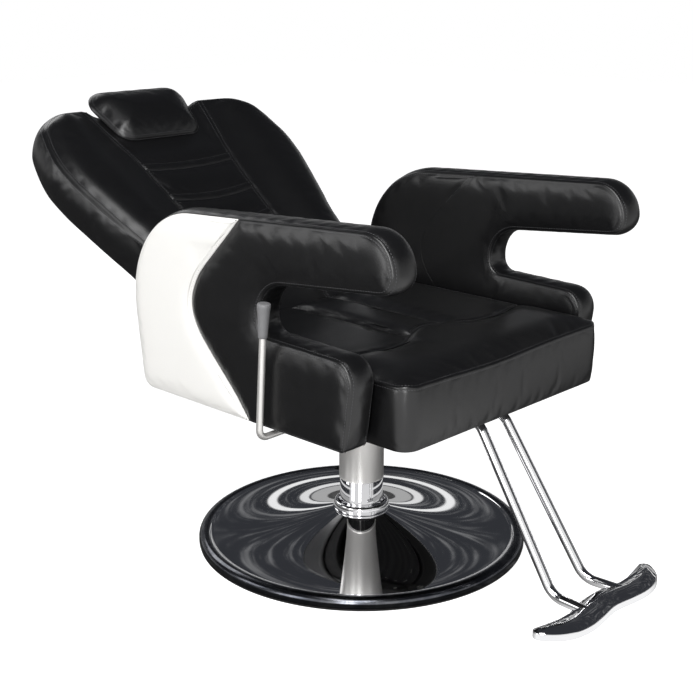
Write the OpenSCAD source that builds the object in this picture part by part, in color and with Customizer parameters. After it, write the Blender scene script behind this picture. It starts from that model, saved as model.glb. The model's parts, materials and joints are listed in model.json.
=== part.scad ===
// Hydraulic barber chair: round chrome base, pump column, upholstered seat,
// hooked arms, reclining back with a sliding headrest, and a chrome footrest.
// Millimetres. The floor is z = 0 and the column stands on the Z axis.
// +X is the sitter's left and -Y is the front of the chair.

/* [Base] */
// Outer diameter of the base
base_d = 620; // [560:5:700]
// Width of the rolled rim
rim_w = 27; // [22:1:34]
// Height of the rolled rim above the floor
rim_h = 22; // [18:1:28]
// Thickness of the rubber ring under the rim
rubber_t = 4; // [3:0.5:6]
// Thickness of the cast floor plate
plate_t = 10; // [8:1:14]
// Height of the dish where it meets the collar
dish_h = 58; // [50:1:70]
// Sheet thickness of the dish
dish_t = 2; // [1.5:0.1:3]
// How hollow the dish is: 1 is a straight cone
dish_power = 1.9; // [1.2:0.1:2.6]
// Outer diameter of the collar ring round the column
collar_d = 104; // [98:1:120]
// Height of the collar ring
collar_h = 18; // [12:1:24]

/* [Column] */
// Outer diameter of the fixed pump housing
housing_d = 81.5; // [76:0.5:90]
// Wall of the pump housing
housing_wall = 3.25; // [2.5:0.25:4]
// Height of the top of the pump housing
housing_top = 254; // [248:1:260]
// Diameter and thickness of the housing's foot flange
flange_d = 140; // [132:1:150]
flange_t = 8; // [6:1:10]
// Wall of the outer sleeve that hangs over the housing
sleeve_wall = 1.1; // [1:0.1:2]
// Gap between the housing and the sleeve
sleeve_gap = 0.4; // [0.3:0.1:0.8]
// Height of the sleeve's lower edge with the seat down
sleeve_low = 120.6; // [116:0.2:128]
// Diameter of the piston rod
rod_d = 30; // [26:1:32]
// Bore and wall of the pressure cylinder
cylinder_bore = 40; // [36:1:41]
cylinder_wall = 3; // [2.5:0.5:3.5]

/* [Pedal] */
// Direction of the foot pedal, from the sitter's left towards the rear
pedal_turn = 45; // [30:1:60]
// Height of the pedal's pivot
pedal_z = 98; // [96:1:100]
// Distance of the pedal's pivot from the column's axis
pedal_pivot_r = 56; // [54:1:60]
// Distance of the pedal's end from the column's axis
pedal_reach = 330; // [300:5:360]

/* [Seat] */
// Half width of the seat cushion
seat_half = 265; // [250:1:285]
// Distance of the seat's front edge from the column's axis
seat_front = 340; // [325:1:350]
// Distance of the seat's rear edge from the column's axis
seat_rear = 112; // [100:1:112]
// How far the cushion's top reaches back over its rear edge, below the back
seat_overhang = 33; // [20:1:33]
// Underside of the seat board
board_z = 327; // [324:1:330]
// Thickness of the seat board
board_t = 12; // [10:1:14]
// Height of the seat's sewn top edge
seat_seam_z = 434; // [425:1:445]
// Crown of the seat above its sewn edge
seat_crown = 17; // [8:1:20]
// Radius of the seat's front corners
seat_corner = 34; // [26:1:60]
// Distance of the two sewn channels from the centre line
channel_x = 50; // [40:1:60]
// Depth of the sewn channels
channel_depth = 7; // [4:1:9]

/* [Arms] */
// Thickness of an arm between its sewn edges
arm_t = 55; // [48:1:60]
// Gap between the seat cushion's side and an arm
arm_gap = 11; // [11:1:16]
// Distance of the arms' front, rear and top from the column's axis and the floor
arm_nose = 367; // [350:1:380]
arm_rear = 241; // [230:1:250]
arm_top = 667; // [650:1:690]
// Swell of an arm's edge strip
arm_swell = 7; // [3:1:9]
// Underside of the arms
arm_low = 333; // [333:1:336]
// Thickness of the white side panels
panel_t = 3; // [2:0.5:4]

/* [Back] */
// Angle of the back above level when fully reclined
recline = 36; // [34:1:38]
// Travel of the back to its upright stop
recline_travel = 45; // [40:1:46]
// Place of the recline pivot, behind the column's axis and above the floor
pivot_y = 165; // [163:1:168]
pivot_z = 395; // [393:1:397]
// Front sewn edge of the back ahead of the pivot
back_front = 43.5; // [42:0.5:44]
// Depth of the back cushion behind its front sewn edge
back_depth = 62; // [58:1:64]
// Lower edge of the back below the pivot
back_foot = 10; // [6:1:12]
// Length of the back above the pivot
back_len = 598; // [585:1:615]
// Depth of the notch between the shoulders
notch_depth = 26; // [20:1:36]
// Thickness of the back board and of the rear cover
back_board_t = 12; // [10:1:14]
back_cover_t = 12; // [10:1:14]

/* [Headrest] */
// Half width of the headrest at its top and at its foot
head_top_half = 117; // [105:1:125]
head_low_half = 92; // [80:1:100]
// How far the headrest reaches below and above the top of the back
head_drop = 94; // [90:1:98]
head_rise = 40; // [32:1:46]
// Thickness of the headrest
head_t = 40; // [32:1:46]
// Travel of the headrest along the back
head_travel = 80; // [60:5:90]

/* [Footrest] */
// Diameter of the footrest tubes
foot_tube_d = 17; // [14:1:20]
// Distance of a footrest tube from the centre line at its upper bend
foot_tube_x = 33; // [30:1:40]
// Half width of the foot plate
foot_half = 165; // [150:1:180]
// Thickness of the foot plate's edge
foot_edge_t = 14; // [12:1:20]
// Underside of the foot plate
foot_low = 43; // [38:1:50]

/* [Recline lever] */
// Diameter of the lever's rod
lever_d = 11.5; // [10:0.5:13]
// Distance of the lever from the outer face of an arm
lever_gap = 19; // [17:1:29]
// Place of the lever's turning axis
lever_y = -100; // [-104:1:-96]
lever_z = 317; // [316:1:318]
// Height of the top of the lever above its axis
lever_h = 230; // [200:5:240]
// Length of the lever's grip
grip_len = 57; // [50:1:65]
// Lean of the lever towards the front
lever_lean = 4.3; // [3:0.1:6]

/* [Hidden] */
$fn = 64;

// Clearances
slip = 0.05;
press = 0.02;
apart = 0.3;

// Base and column
base_r = base_d / 2;
plate_r = base_r - 18;
housing_r = housing_d / 2;
housing_in = housing_r - housing_wall;
flange_r = flange_d / 2;
flange_z = plate_t;
tube_z = flange_z + flange_t;
sleeve_in = housing_r + sleeve_gap;
sleeve_r = sleeve_in + sleeve_wall;
rod_r = rod_d / 2;
cyl_r = cylinder_bore / 2;
cyl_out = cyl_r + cylinder_wall;
gland_h = 18;
gland_lip = 3;
rod_collar_h = 6;
bearing_h = 6;
hub_low = housing_top + gland_lip + 1 + rod_collar_h + bearing_h;
hub_r = 38;
lip_in = 44;
bolt_circle = 58;
bolt_r = 5;

// Seat frame
rail_h = 25;
rail_w = 25;
rail_in = 70;
rail_x = rail_in + rail_w / 2;
rail_low = board_z - rail_h;
top_plate_t = 8;
top_plate_low = rail_low - top_plate_t;
top_plate_half = rail_in + rail_w;
rail_front = -205;
cross_w = 30;
cross_rear_y = 85;
cross_rear_t = 12;
cross_half = seat_half - 65;
lug_in = seat_half - 20.5;
lug_t = 6;
lug_out = lug_in + lug_t;
frame_bolt_y = 75;
frame_bolt_r = 4;
flat_t = 6;
flat_step = seat_half - 3;
arm_outer = seat_half + arm_gap + arm_t;
lever_x = arm_outer + lever_gap;
arm_bolt_x = arm_outer - arm_t / 2;
arm_bolt_r = 4;
cushion_low = board_z + board_t;
seat_mid_y = (seat_rear - seat_front) / 2;

// Recline hinge and gas spring
pin_r = 6;
bush_r = 8.5;
bracket_in = lug_in - 7.5;
bracket_t = 6;
bracket_out = bracket_in + bracket_t;
head_low = back_len - head_drop;
head_high = back_len + head_rise;
board_top_h = back_front - back_depth;
board_low_h = board_top_h - back_board_t;
cover_low_h = board_low_h - back_cover_t;
gas_x = -125;
gas_y = -70;
gas_z = 285;
gas_pin_r = 4;
gas_r = 9;
gas_rod_r = 4;
tail_r = 95;
tail_turn = -9;
tail_y = pivot_y + tail_r * sin(tail_turn);
tail_z = pivot_z - tail_r * cos(tail_turn);
gas_len = norm([tail_y - gas_y, tail_z - gas_z]);
gas_tilt = atan2(tail_z - gas_z, tail_y - gas_y);
tail_hole_r = 9.5;
tail_eye_r = tail_hole_r + 6.5;
tail_half = 4;

// Headrest slide
bar_w = 40;
bar_t = 6;
bar_h = board_low_h - 4;
head_rear_h = back_front - 18;
head_plate_t = 5;

// ---------------------------------------------------------------- helpers

function mix(a, b, t) = a + (b - a) * t;
function unit(v) = v / norm(v);
function ease(t) = let (c = min(max(t, 0), 1)) c * c * (3 - 2 * c);
// A bump of height 1 at x = 0 that fades out at half width w
function bump(x, w) = abs(x) < w ? (1 + cos(180 * x / w)) / 2 : 0;

// One rounded corner: b is the corner, a and c are its neighbours, n steps
function corner(a, b, c, r, n) = let (
    u = unit(a - b), v = unit(c - b),
    half = acos(min(max(u * v, -1), 1)) / 2,
    d = r / tan(half), o = b + unit(u + v) * (r / sin(half)),
    p = b + u * d, q = b + v * d,
    a0 = atan2(p[1] - o[1], p[0] - o[0]), a1 = atan2(q[1] - o[1], q[0] - o[0]),
    da = a1 - a0 > 180 ? a1 - a0 - 360 : a1 - a0 < -180 ? a1 - a0 + 360 : a1 - a0
) [for (i = [0:n]) o + r * [cos(a0 + da * i / n), sin(a0 + da * i / n)]];

// A path through v = [[x, y, radius], ...], rounded at its inner corners
function rounded(v, n) = [for (i = [0:len(v) - 1])
    each (i == 0 || i == len(v) - 1 || v[i][2] == 0) ? [[v[i][0], v[i][1]]]
        : corner([v[i - 1][0], v[i - 1][1]], [v[i][0], v[i][1]], [v[i + 1][0], v[i + 1][1]], v[i][2], n)];

// A closed outline through v, rounded at every corner
function closed(v, n) = let (m = len(v)) [for (i = [0:m - 1])
    let (a = v[(i + m - 1) % m], b = v[i], c = v[(i + 1) % m])
    each b[2] == 0 ? [[b[0], b[1]]] : corner([a[0], a[1]], [b[0], b[1]], [c[0], c[1]], b[2], n)];

// Running length of a path, and n + 1 points evenly spaced along it
function running(p) = [for (i = 0, s = 0; i < len(p);
    s = i + 1 < len(p) ? s + norm(p[i + 1] - p[i]) : s, i = i + 1) s];
function along(p, s, d) = let (
    k = max([for (i = [0:len(p) - 2]) s[i] <= d ? i : 0]),
    g = s[k + 1] - s[k]
) mix(p[k], p[k + 1], g > 0 ? min((d - s[k]) / g, 1) : 0);
function spaced(p, n) = let (s = running(p), total = s[len(s) - 1])
    [for (i = [0:n]) along(p, s, total * i / n)];

// A smooth closed curve through points p, with m steps between points
function smooth_point(a, b, c, d, t) = 0.5 * (2 * b + (c - a) * t
    + (2 * a - 5 * b + 4 * c - d) * t * t + (3 * b - a - 3 * c + d) * t * t * t);
function smooth_loop(p, m) = let (k = len(p)) [for (i = [0:k - 1]) for (j = [0:m - 1])
    smooth_point(p[(i + k - 1) % k], p[i], p[(i + 1) % k], p[(i + 2) % k], j / m)];

module rod_x(r, x0, x1) translate([x0, 0, 0]) rotate([0, 90, 0]) cylinder(r = r, h = x1 - x0);
module rod_y(r, y0, y1) translate([0, y0, 0]) rotate([-90, 0, 0]) cylinder(r = r, h = y1 - y0);
module ring(r, bore, h) difference() {
    cylinder(r = r, h = h);
    translate([0, 0, -1]) cylinder(r = bore, h = h + 2);
}
module hex_head(r, h) cylinder(r = r, h = h, $fn = 6);
// An outline in the plane of y and z, given a thickness from x0 to x1
module side_plate(p, x0, x1) translate([x0, 0, 0]) rotate([90, 0, 90]) linear_extrude(x1 - x0) polygon(p);

// A stuffed slab: grids f (front) and r (rear) of equal size, joined round
// their edges by walls that pass through one middle ring m
function grid_faces(nj, ni, base, flip) = [for (j = [0:nj - 2]) for (i = [0:ni - 2])
    let (a = base + j * ni + i, b = a + 1, c = a + ni + 1, d = a + ni)
    each flip ? [[a, c, b], [a, d, c]] : [[a, b, c], [a, c, d]]];
function rim_index(nj, ni) = concat(
    [for (i = [0:ni - 2]) i], [for (j = [0:nj - 2]) j * ni + ni - 1],
    [for (i = [ni - 1:-1:1]) (nj - 1) * ni + i], [for (j = [nj - 1:-1:1]) j * ni]);
module stuffed(front, rear, swell) {
    nj = len(front);
    ni = len(front[0]);
    flat_front = [for (row = front) each row];
    flat_rear = [for (row = rear) each row];
    rim = rim_index(nj, ni);
    k = len(rim);
    middle = [for (i = [0:k - 1]) let (
        a = flat_front[rim[i]], b = flat_rear[rim[i]],
        prev = flat_front[rim[(i + k - 1) % k]], next = flat_front[rim[(i + 1) % k]],
        t = unit([next[0] - prev[0], next[1] - prev[1]])
    ) (a + b) / 2 + swell * [t[1], -t[0], 0]];
    n = nj * ni;
    wall = [for (i = [0:k - 1]) let (j = (i + 1) % k) each [
        [rim[i], 2 * n + j, 2 * n + i], [rim[i], rim[j], 2 * n + j],
        [2 * n + i, n + rim[j], n + rim[i]], [2 * n + i, 2 * n + j, n + rim[j]]]];
    polyhedron(concat(flat_front, flat_rear, middle),
        concat(grid_faces(nj, ni, 0, true), grid_faces(nj, ni, n, false), wall));
}

// ---------------------------------------------------------------- base

rim_mid_r = base_r - rim_w / 2;
rim_mid_z = rubber_t + (rim_h - rubber_t) * 0.4;
crease_r = base_r - rim_w + 3;
crease_z = rim_h - 4;
function dish_z(r) = crease_z
    + (dish_h - crease_z) * pow((crease_r - r) / (crease_r - collar_d / 2), dish_power);
function dish_line(inset) = concat(
    [[base_r - inset, rubber_t]],
    [for (a = [0:15:120]) [rim_mid_r + (rim_w / 2 - inset) * cos(a),
        rim_mid_z + (rim_h - rim_mid_z - inset) * sin(a)]],
    [for (i = [0:12]) let (r = mix(crease_r - inset, collar_d / 2, i / 12)) [r, dish_z(r) - inset]],
    [[lip_in, dish_h - inset]]);

module base_plate() color("dimgray") cylinder(r = plate_r, h = plate_t, $fn = 128);

module rubber_edge() color([0.06, 0.06, 0.06]) ring(base_r - 1, plate_r + apart, rubber_t, $fn = 128);

module base_cover() {
    outer = dish_line(0);
    inner = dish_line(dish_t);
    color("silver") rotate_extrude($fn = 128)
        polygon(concat(outer, [for (i = [len(inner) - 1:-1:0]) inner[i]]));
}

module collar_ring() {
    inner = housing_r + 0.5;
    outer = collar_d / 2;
    round = 4;
    color("silver") translate([0, 0, dish_h]) rotate_extrude($fn = 96) polygon(concat(
        [[inner + 3, 0], [outer, 0]],
        [for (a = [0:15:90]) [outer - round + round * cos(a), collar_h - round + round * sin(a)]],
        [[inner + 5, collar_h], [inner, collar_h - 6], [inner, 4]]));
}

module at_pedal() rotate([0, 0, pedal_turn]) children();
slot_half = 8;
plunger_x = 30;
plunger_r = 4.5;
nose_r = 5;

module bolt_places(n, r) for (i = [0:n - 1]) rotate([0, 0, 360 / n * i]) translate([r, 0, 0]) children();

module pump_housing() color("silver") difference() {
    union() {
        translate([0, 0, flange_z]) cylinder(r = flange_r, h = flange_t);
        translate([0, 0, flange_z]) cylinder(r = housing_r, h = housing_top - flange_z);
    }
    translate([0, 0, tube_z]) cylinder(r = housing_in, h = housing_top);
    translate([0, 0, flange_z - 1]) bolt_places(4, bolt_circle) cylinder(r = bolt_r + 0.5, h = flange_t + 2);
    at_pedal() translate([housing_in - 8, -slot_half, pedal_z - 12]) cube([16, 2 * slot_half, 24]);
}

module pump_bolts() color("gray") bolt_places(4, bolt_circle) {
    translate([0, 0, flange_z]) cylinder(r = bolt_r, h = flange_t + 1);
    translate([0, 0, tube_z]) hex_head(9.5, 6.5);
}

module pump_cylinder() color("lightgray") translate([0, 0, tube_z])
    ring(cyl_out, cyl_r, housing_top - gland_h - tube_z);

module gland_nut() color("goldenrod") difference() {
    union() {
        translate([0, 0, housing_top - gland_h]) cylinder(r = housing_in - press, h = gland_h + gland_lip);
        translate([0, 0, housing_top]) cylinder(r = housing_r - 0.5, h = gland_lip);
    }
    translate([0, 0, housing_top - gland_h - 1]) cylinder(r = rod_r + slip, h = gland_h + gland_lip + 2);
}

block_low = pedal_z + 20;
block_h = 47;
module pump_block() color("gray") at_pedal() translate([0, 0, block_low]) difference() {
    intersection() {
        ring(housing_in - press, cyl_out + press, block_h);
        translate([0, -10, -1]) cube([housing_r, 20, block_h + 2]);
    }
    translate([plunger_x, 0, -1]) cylinder(r = plunger_r + slip, h = block_h + 2);
}

lug_gap = 8.5;
pedal_lug_t = 5;
module pedal_bracket() color("silver") at_pedal() difference() {
    for (s = [-1, 1]) translate([0, s * (lug_gap + pedal_lug_t / 2), pedal_z]) {
        translate([pedal_pivot_r, 0, 0]) rod_y(11, -pedal_lug_t / 2, pedal_lug_t / 2);
        translate([housing_r - 6, -pedal_lug_t / 2, -11]) cube([pedal_pivot_r - housing_r + 6, pedal_lug_t, 22]);
    }
    cylinder(r = housing_r, h = housing_top);
    translate([pedal_pivot_r, 0, pedal_z]) rod_y(4 + press, -30, 30);
}

pedal_pin_half = lug_gap + pedal_lug_t + 2;
module pedal_pin() color("gray") at_pedal() translate([pedal_pivot_r, 0, pedal_z])
    rod_y(4, -pedal_pin_half, pedal_pin_half);

// ---------------------------------------------------------------- pedal

pedal_hub_half = lug_gap - 0.6;
pedal_bar_t = 10;
pad_len = 60;
module pedal_arm() color("silver") at_pedal() translate([0, 0, pedal_z]) difference() {
    union() {
        translate([pedal_pivot_r, 0, 0]) rod_y(9, -pedal_hub_half, pedal_hub_half);
        translate([pedal_pivot_r, -pedal_hub_half, -pedal_bar_t / 2])
            cube([pedal_reach - pedal_pivot_r, 2 * pedal_hub_half, pedal_bar_t]);
        translate([pedal_reach - pad_len + 10, -30, -pedal_bar_t / 2]) cube([pad_len, 60, pedal_bar_t]);
        translate([plunger_x, -5, -4]) cube([pedal_pivot_r - plunger_x, 10, 8]);
        translate([plunger_x, 0, 0]) rod_y(nose_r, -5, 5);
    }
    translate([pedal_pivot_r, 0, 0]) rod_y(4 + slip, -30, 30);
}

module pedal_pad() color([0.08, 0.08, 0.08]) at_pedal()
    translate([pedal_reach - pad_len + 6, 0, pedal_z + pedal_bar_t / 2]) difference() {
        translate([0, -35, 0]) cube([pad_len + 8, 70, 10]);
        for (i = [0:4]) translate([8 + 13 * i, -36, 7]) cube([4, 72, 4]);
    }

plunger_len = 46;
module pump_plunger() color("lightgray") at_pedal()
    translate([plunger_x, 0, pedal_z + nose_r + 0.5]) {
        cylinder(r = plunger_r, h = plunger_len);
        cylinder(r = 6, h = 3);
    }

// ---------------------------------------------------------------- lift

piston_low = 44;
piston_h = 16;
rod_top = top_plate_low - 2.3;
rod_collar_z = housing_top + gland_lip + 1;
module piston_rod() color("gainsboro") difference() {
    union() {
        translate([0, 0, piston_low]) cylinder(r = rod_r, h = rod_top - piston_low);
        translate([0, 0, piston_low]) cylinder(r = cyl_r - slip, h = piston_h);
        translate([0, 0, rod_collar_z]) cylinder(r = rod_r + 7, h = rod_collar_h);
    }
    translate([0, 0, piston_low + 6]) ring(cyl_r + 1, cyl_r - 3.5, 4);
}

module piston_seal() color([0.1, 0.1, 0.1]) translate([0, 0, piston_low + 6.1])
    ring(cyl_r - slip, cyl_r - 3.4, 3.8);

module thrust_bearing() color("gray") translate([0, 0, rod_collar_z + rod_collar_h])
    ring(hub_r - 8, rod_r + press, bearing_h - apart);

// ---------------------------------------------------------------- seat frame

module swivel_hub() color("dimgray") translate([0, 0, hub_low]) difference() {
    cylinder(r = hub_r, h = top_plate_low - hub_low);
    translate([0, 0, -1]) cylinder(r = rod_r + slip, h = top_plate_low - hub_low - 1);
}

module outer_sleeve() color("lightgray") translate([0, 0, sleeve_low])
    ring(sleeve_r, sleeve_in, top_plate_low - sleeve_low);

module frame_bolt_places() for (x = [-1, 1]) for (y = [-1, 1])
    translate([x * rail_x, y * frame_bolt_y, 0]) children();

module top_plate() color("dimgray") difference() {
    translate([-top_plate_half, -95, top_plate_low]) cube([2 * top_plate_half, 190 - 10, top_plate_t]);
    translate([0, 0, top_plate_low - 1]) frame_bolt_places()
        cylinder(r = frame_bolt_r + 0.3, h = top_plate_t + 2);
}

module frame_bolts() color("gray") frame_bolt_places() {
    translate([0, 0, top_plate_low]) cylinder(r = frame_bolt_r, h = top_plate_t + rail_h + board_t - 2);
    translate([0, 0, top_plate_low - 5.5]) hex_head(7.5, 5.5);
}

module rail(side) difference() {
    translate([side * rail_x - rail_w / 2, rail_front, rail_low])
        cube([rail_w, cross_rear_y - rail_front, rail_h]);
    translate([0, 0, rail_low - 1]) frame_bolt_places() cylinder(r = frame_bolt_r + 0.3, h = rail_h + 2);
}
module rail_left() color("dimgray") rail(1);
lever_bush_r = 8;
module rail_right() color("dimgray") difference() {
    rail(-1);
    translate([0, lever_y, lever_z]) rod_x(lever_bush_r + press, -rail_in - rail_w - 1, -rail_in + 1);
}

block_x = seat_half - 33;
block_half = 9;
module lever_bush() color("goldenrod") translate([0, lever_y, lever_z]) difference() {
    union() {
        rod_x(lever_bush_r, -rail_in - rail_w, -rail_in);
        rod_x(lever_bush_r + 1.5, -rail_in - rail_w - 3, -rail_in - rail_w);
        rod_x(lever_bush_r, -block_x - block_half - 2, -block_x + block_half + 2);
    }
    rod_x(lever_d / 2 + slip, -block_x - block_half - 4, -rail_in + 1);
}

module lever_block() color("dimgray") difference() {
    translate([-block_x - block_half, lever_y - 16, board_z - 24]) cube([2 * block_half, 32, 24]);
    translate([0, lever_y, lever_z]) rod_x(lever_bush_r + press, -block_x - 20, -block_x + 20);
}

module cross_front() color("dimgray") difference() {
    translate([-cross_half, rail_front - cross_w, rail_low]) cube([2 * cross_half, cross_w, rail_h]);
    for (s = [-1, 1]) at_tube(s) translate([0, 0, foot_plane_z])
        rod_x(foot_tube_d / 2 + press, -rail_front - 20, -rail_front + cross_w + 20);
}

module cross_rear() color("dimgray")
    translate([-lug_in, cross_rear_y, board_z - cross_rear_t]) cube([2 * lug_in, cross_w - 3, cross_rear_t]);

function seat_outline(inset) = closed([
    [-seat_half + inset, -seat_front + inset, seat_corner - inset],
    [seat_half - inset, -seat_front + inset, seat_corner - inset],
    [seat_half - inset, seat_rear - inset, 20],
    [-seat_half + inset, seat_rear - inset, 20]], 8);

module seat_board() color([0.16, 0.13, 0.1]) difference() {
    translate([0, 0, board_z]) linear_extrude(board_t) polygon(seat_outline(5));
    translate([0, 0, board_z - 1]) frame_bolt_places() cylinder(r = frame_bolt_r + 0.3, h = board_t);
}

// ---------------------------------------------------------------- seat cushion

// Front edge of the seat's inner panel: two lobes and a notch at the centre
panel_front = -158;
function panel_edge(x) = panel_front - 36 * bump(abs(x) - 138, 135) + 14 * bump(x, 80);
seat_rows = [0, 0.012, 0.04, 0.09, 0.16, 0.24, 0.31, 0.345, 0.37, 0.4, 0.46, 0.54, 0.62,
    0.7, 0.78, 0.86, 0.92, 0.965, 0.99, 1];
seat_cols = [0, 0.09, 0.165, 0.189, 0.213, 0.32, 0.5, 0.7, 0.85, 0.94, 0.985, 1];
seat_ts = concat([for (i = [len(seat_cols) - 1:-1:1]) -seat_cols[i]], seat_cols);
seat_len = seat_rear + seat_front;
function corner_half(y, end) = let (
    f = y + seat_front - seat_corner, r = y - end + 20
) seat_half - (f < 0 ? seat_corner - sqrt(max(seat_corner * seat_corner - f * f, 0)) : 0)
    - (r > 0 ? 20 - sqrt(max(400 - r * r, 0)) : 0);
function seat_top(x, y) = let (
    e = min(1, (seat_half - abs(x)) / 70), g = min(1, (y + seat_front) / 90),
    k = min(1, (seat_rear + seat_overhang - y) / 60),
    edge = sin(90 * max(e, 0)) * sin(90 * max(g, 0)) * sin(90 * max(k, 0)),
    behind = ease((y - panel_edge(x)) / 24),
    groove = channel_depth * behind * (bump(x - channel_x, 16) + bump(x + channel_x, 16)) * ease((seat_half - abs(x)) / 40)
) seat_seam_z + seat_crown * edge - 5 * edge * bump(y - panel_edge(x), 20) - groove * edge - 4 * behind * edge;

module seat_cushion() {
    front = [for (s = seat_rows) [for (t = seat_ts) let (
        y = -seat_front + (seat_len + seat_overhang) * s, x = t * corner_half(y, seat_rear + seat_overhang))
        [x, y, seat_top(x, y)]]];
    rear = [for (s = seat_rows) [for (t = seat_ts) let (
        y = -seat_front + seat_len * s, x = t * corner_half(y, seat_rear))
        [x * 0.99, seat_mid_y + (y - seat_mid_y) * 0.988, cushion_low]]];
    color([0.11, 0.11, 0.12]) stuffed(front, rear, 2);
}

// ---------------------------------------------------------------- arms

// Side view of an arm as two edges, in y and z: the outer edge runs from the
// nose over the top, down the rear and along the bottom; the inner edge runs
// round the hook.  Each span of one edge faces the same span of the other.
// The numbers are those of an arm that runs from -367 to 241 and from 333 to
// 667, and fit() brings them to the chosen size.
function fit(v) = [for (p = v) [p[0] * (p[0] < 0 ? arm_nose / 367 : arm_rear / 241),
    arm_low + (p[1] - 333) * (arm_top - arm_low) / 334, len(p) > 2 ? p[2] : 0]];
function flat(v) = [for (p = v) [p[0], p[1]]];
nose = flat(fit([[-367, 630]]))[0];
top_outer = rounded(fit([[-367, 632, 0], [-368, 668, 34], [-250, 677, 150], [0, 667, 0]]), 6);
top_rear = rounded(fit([[0, 667, 0], [241, 652, 165], [241, 486, 0]]), 12);
low_rear = rounded(fit([[241, 486, 0], [240, 470, 0], [221, 333, 24], [150, 333, 0]]), 6);
bottom = flat(fit([[150, 333], [-240, 333]]));
low_front = rounded(fit([[-240, 333, 0], [-268, 333, 5], [-270, 347, 0]]), 3);
under_nose = rounded(fit([[-367, 628, 0], [-366, 598, 26], [-240, 586, 0]]), 6);
hook_top = rounded(fit([[-240, 586, 0], [-74, 569, 60], [-76, 526, 0]]), 8);
hook_low = rounded(fit([[-76, 526, 0], [-78, 480, 28], [-130, 480, 0]]), 6);
low_limb = flat(fit([[-130, 480], [-236, 477]]));
limb_front = rounded(fit([[-236, 477, 0], [-289, 475, 34], [-283, 425, 0]]), 5);
span_steps = [7, 9, 7, 6, 6];
outer_spans = [top_outer, top_rear, low_rear, bottom, low_front];
inner_spans = [under_nose, hook_top, hook_low, low_limb, limb_front];
function edge_points(spans) = concat([for (i = [0:4]) let (p = spaced(spans[i], span_steps[i]))
    each [for (j = [0:span_steps[i] - 1]) p[j]]], [spans[4][len(spans[4]) - 1]]);
arm_outer_edge = edge_points(outer_spans);
arm_inner_edge = edge_points(inner_spans);
arm_stations = len(arm_outer_edge);

// Swell of the outer strip: none along the bottom, where the arm is bolted
function strip_swell(p) = arm_swell * ease((p[1] - arm_low) / 60);
// Unit normal of an edge at station k, pointing away from the other edge
function edge_normal(e, o, k) = let (
    a = e[max(k - 1, 0)], b = e[min(k + 1, arm_stations - 1)], t = unit(b - a),
    n = [t[1], -t[0]], away = e[k] - o[k]
) n * away < 0 ? -n : n;
function arm_section(k) = let (
    o = arm_outer_edge[k], i = arm_inner_edge[k], m = (o + i) / 2,
    no = edge_normal(arm_outer_edge, arm_inner_edge, k) * strip_swell(o),
    ni = edge_normal(arm_inner_edge, arm_outer_edge, k) * arm_swell,
    x1 = arm_outer, x0 = arm_outer - arm_t, xm = (x0 + x1) / 2, xa = x1 - arm_t / 5, xb = x0 + arm_t / 5
) [[x1, o], [xa, o + no * 0.7], [xm, o + no], [xb, o + no * 0.7], [x0, o], [x0 - 2.5, m], [x0, i],
    [xb, i + ni * 0.7], [xm, i + ni], [xa, i + ni * 0.7], [x1, i], [x1, m]];

module arm(side) {
    n = 12;
    points = [for (k = [0:arm_stations - 1]) for (q = arm_section(k)) [side * q[0], q[1][0], q[1][1]]];
    tube = [for (k = [0:arm_stations - 2]) for (i = [0:n - 1]) let (
        a = k * n + i, b = k * n + (i + 1) % n, c = b + n, d = a + n) each [[a, b, c], [a, c, d]]];
    last = (arm_stations - 1) * n;
    nose_tip = [side * (arm_outer - arm_t / 2), nose[0] - arm_swell, nose[1]];
    front = arm_section(arm_stations - 1);
    front_mid = (front[0][1] + front[6][1]) / 2;
    limb_tip = [side * (arm_outer - arm_t / 2), front_mid[0] - arm_swell, front_mid[1]];
    start_cap = [for (i = [0:n - 1]) [arm_stations * n, (i + 1) % n, i]];
    end_cap = [for (i = [0:n - 1]) [arm_stations * n + 1, last + i, last + (i + 1) % n]];
    faces = concat(tube, start_cap, end_cap);
    polyhedron(concat(points, [nose_tip, limb_tip]),
        side > 0 ? [for (f = faces) [f[2], f[1], f[0]]] : faces);
}
module arm_left() color([0.12, 0.12, 0.13]) arm(1);
module arm_right() color([0.12, 0.12, 0.13]) arm(-1);

// White panel on the outer face: it follows the arm's top and rear edges, and
// its front edge bows out to the rear of the hook
panel_front_line = flat(fit([[-52, 335], [-20, 371], [44, 435], [76, 476], [83, 506], [64, 557], [20, 604], [-34, 661]]));
function open_smooth(p, m) = let (k = len(p)) concat([for (i = [0:k - 2]) for (j = [0:m - 1])
    smooth_point(p[max(i - 1, 0)], p[i], p[i + 1], p[min(i + 2, k - 1)], j / m)], [p[k - 1]]);
panel_inset = 2;
panel_outline = concat(open_smooth(panel_front_line, 4),
    rounded(fit([[0, 667 - panel_inset, 0], [241 - panel_inset, 652 - panel_inset, 163],
        [240 - panel_inset, 470, 240], [221 - panel_inset, 333 + panel_inset, 22],
        [0, 333 + panel_inset, 0]]), 12));
module side_panel(side) color("whitesmoke")
    side_plate(panel_outline, side > 0 ? arm_outer : -arm_outer - panel_t, side > 0 ? arm_outer + panel_t : -arm_outer);
module side_panel_left() side_panel(1);
module side_panel_right() side_panel(-1);

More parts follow.
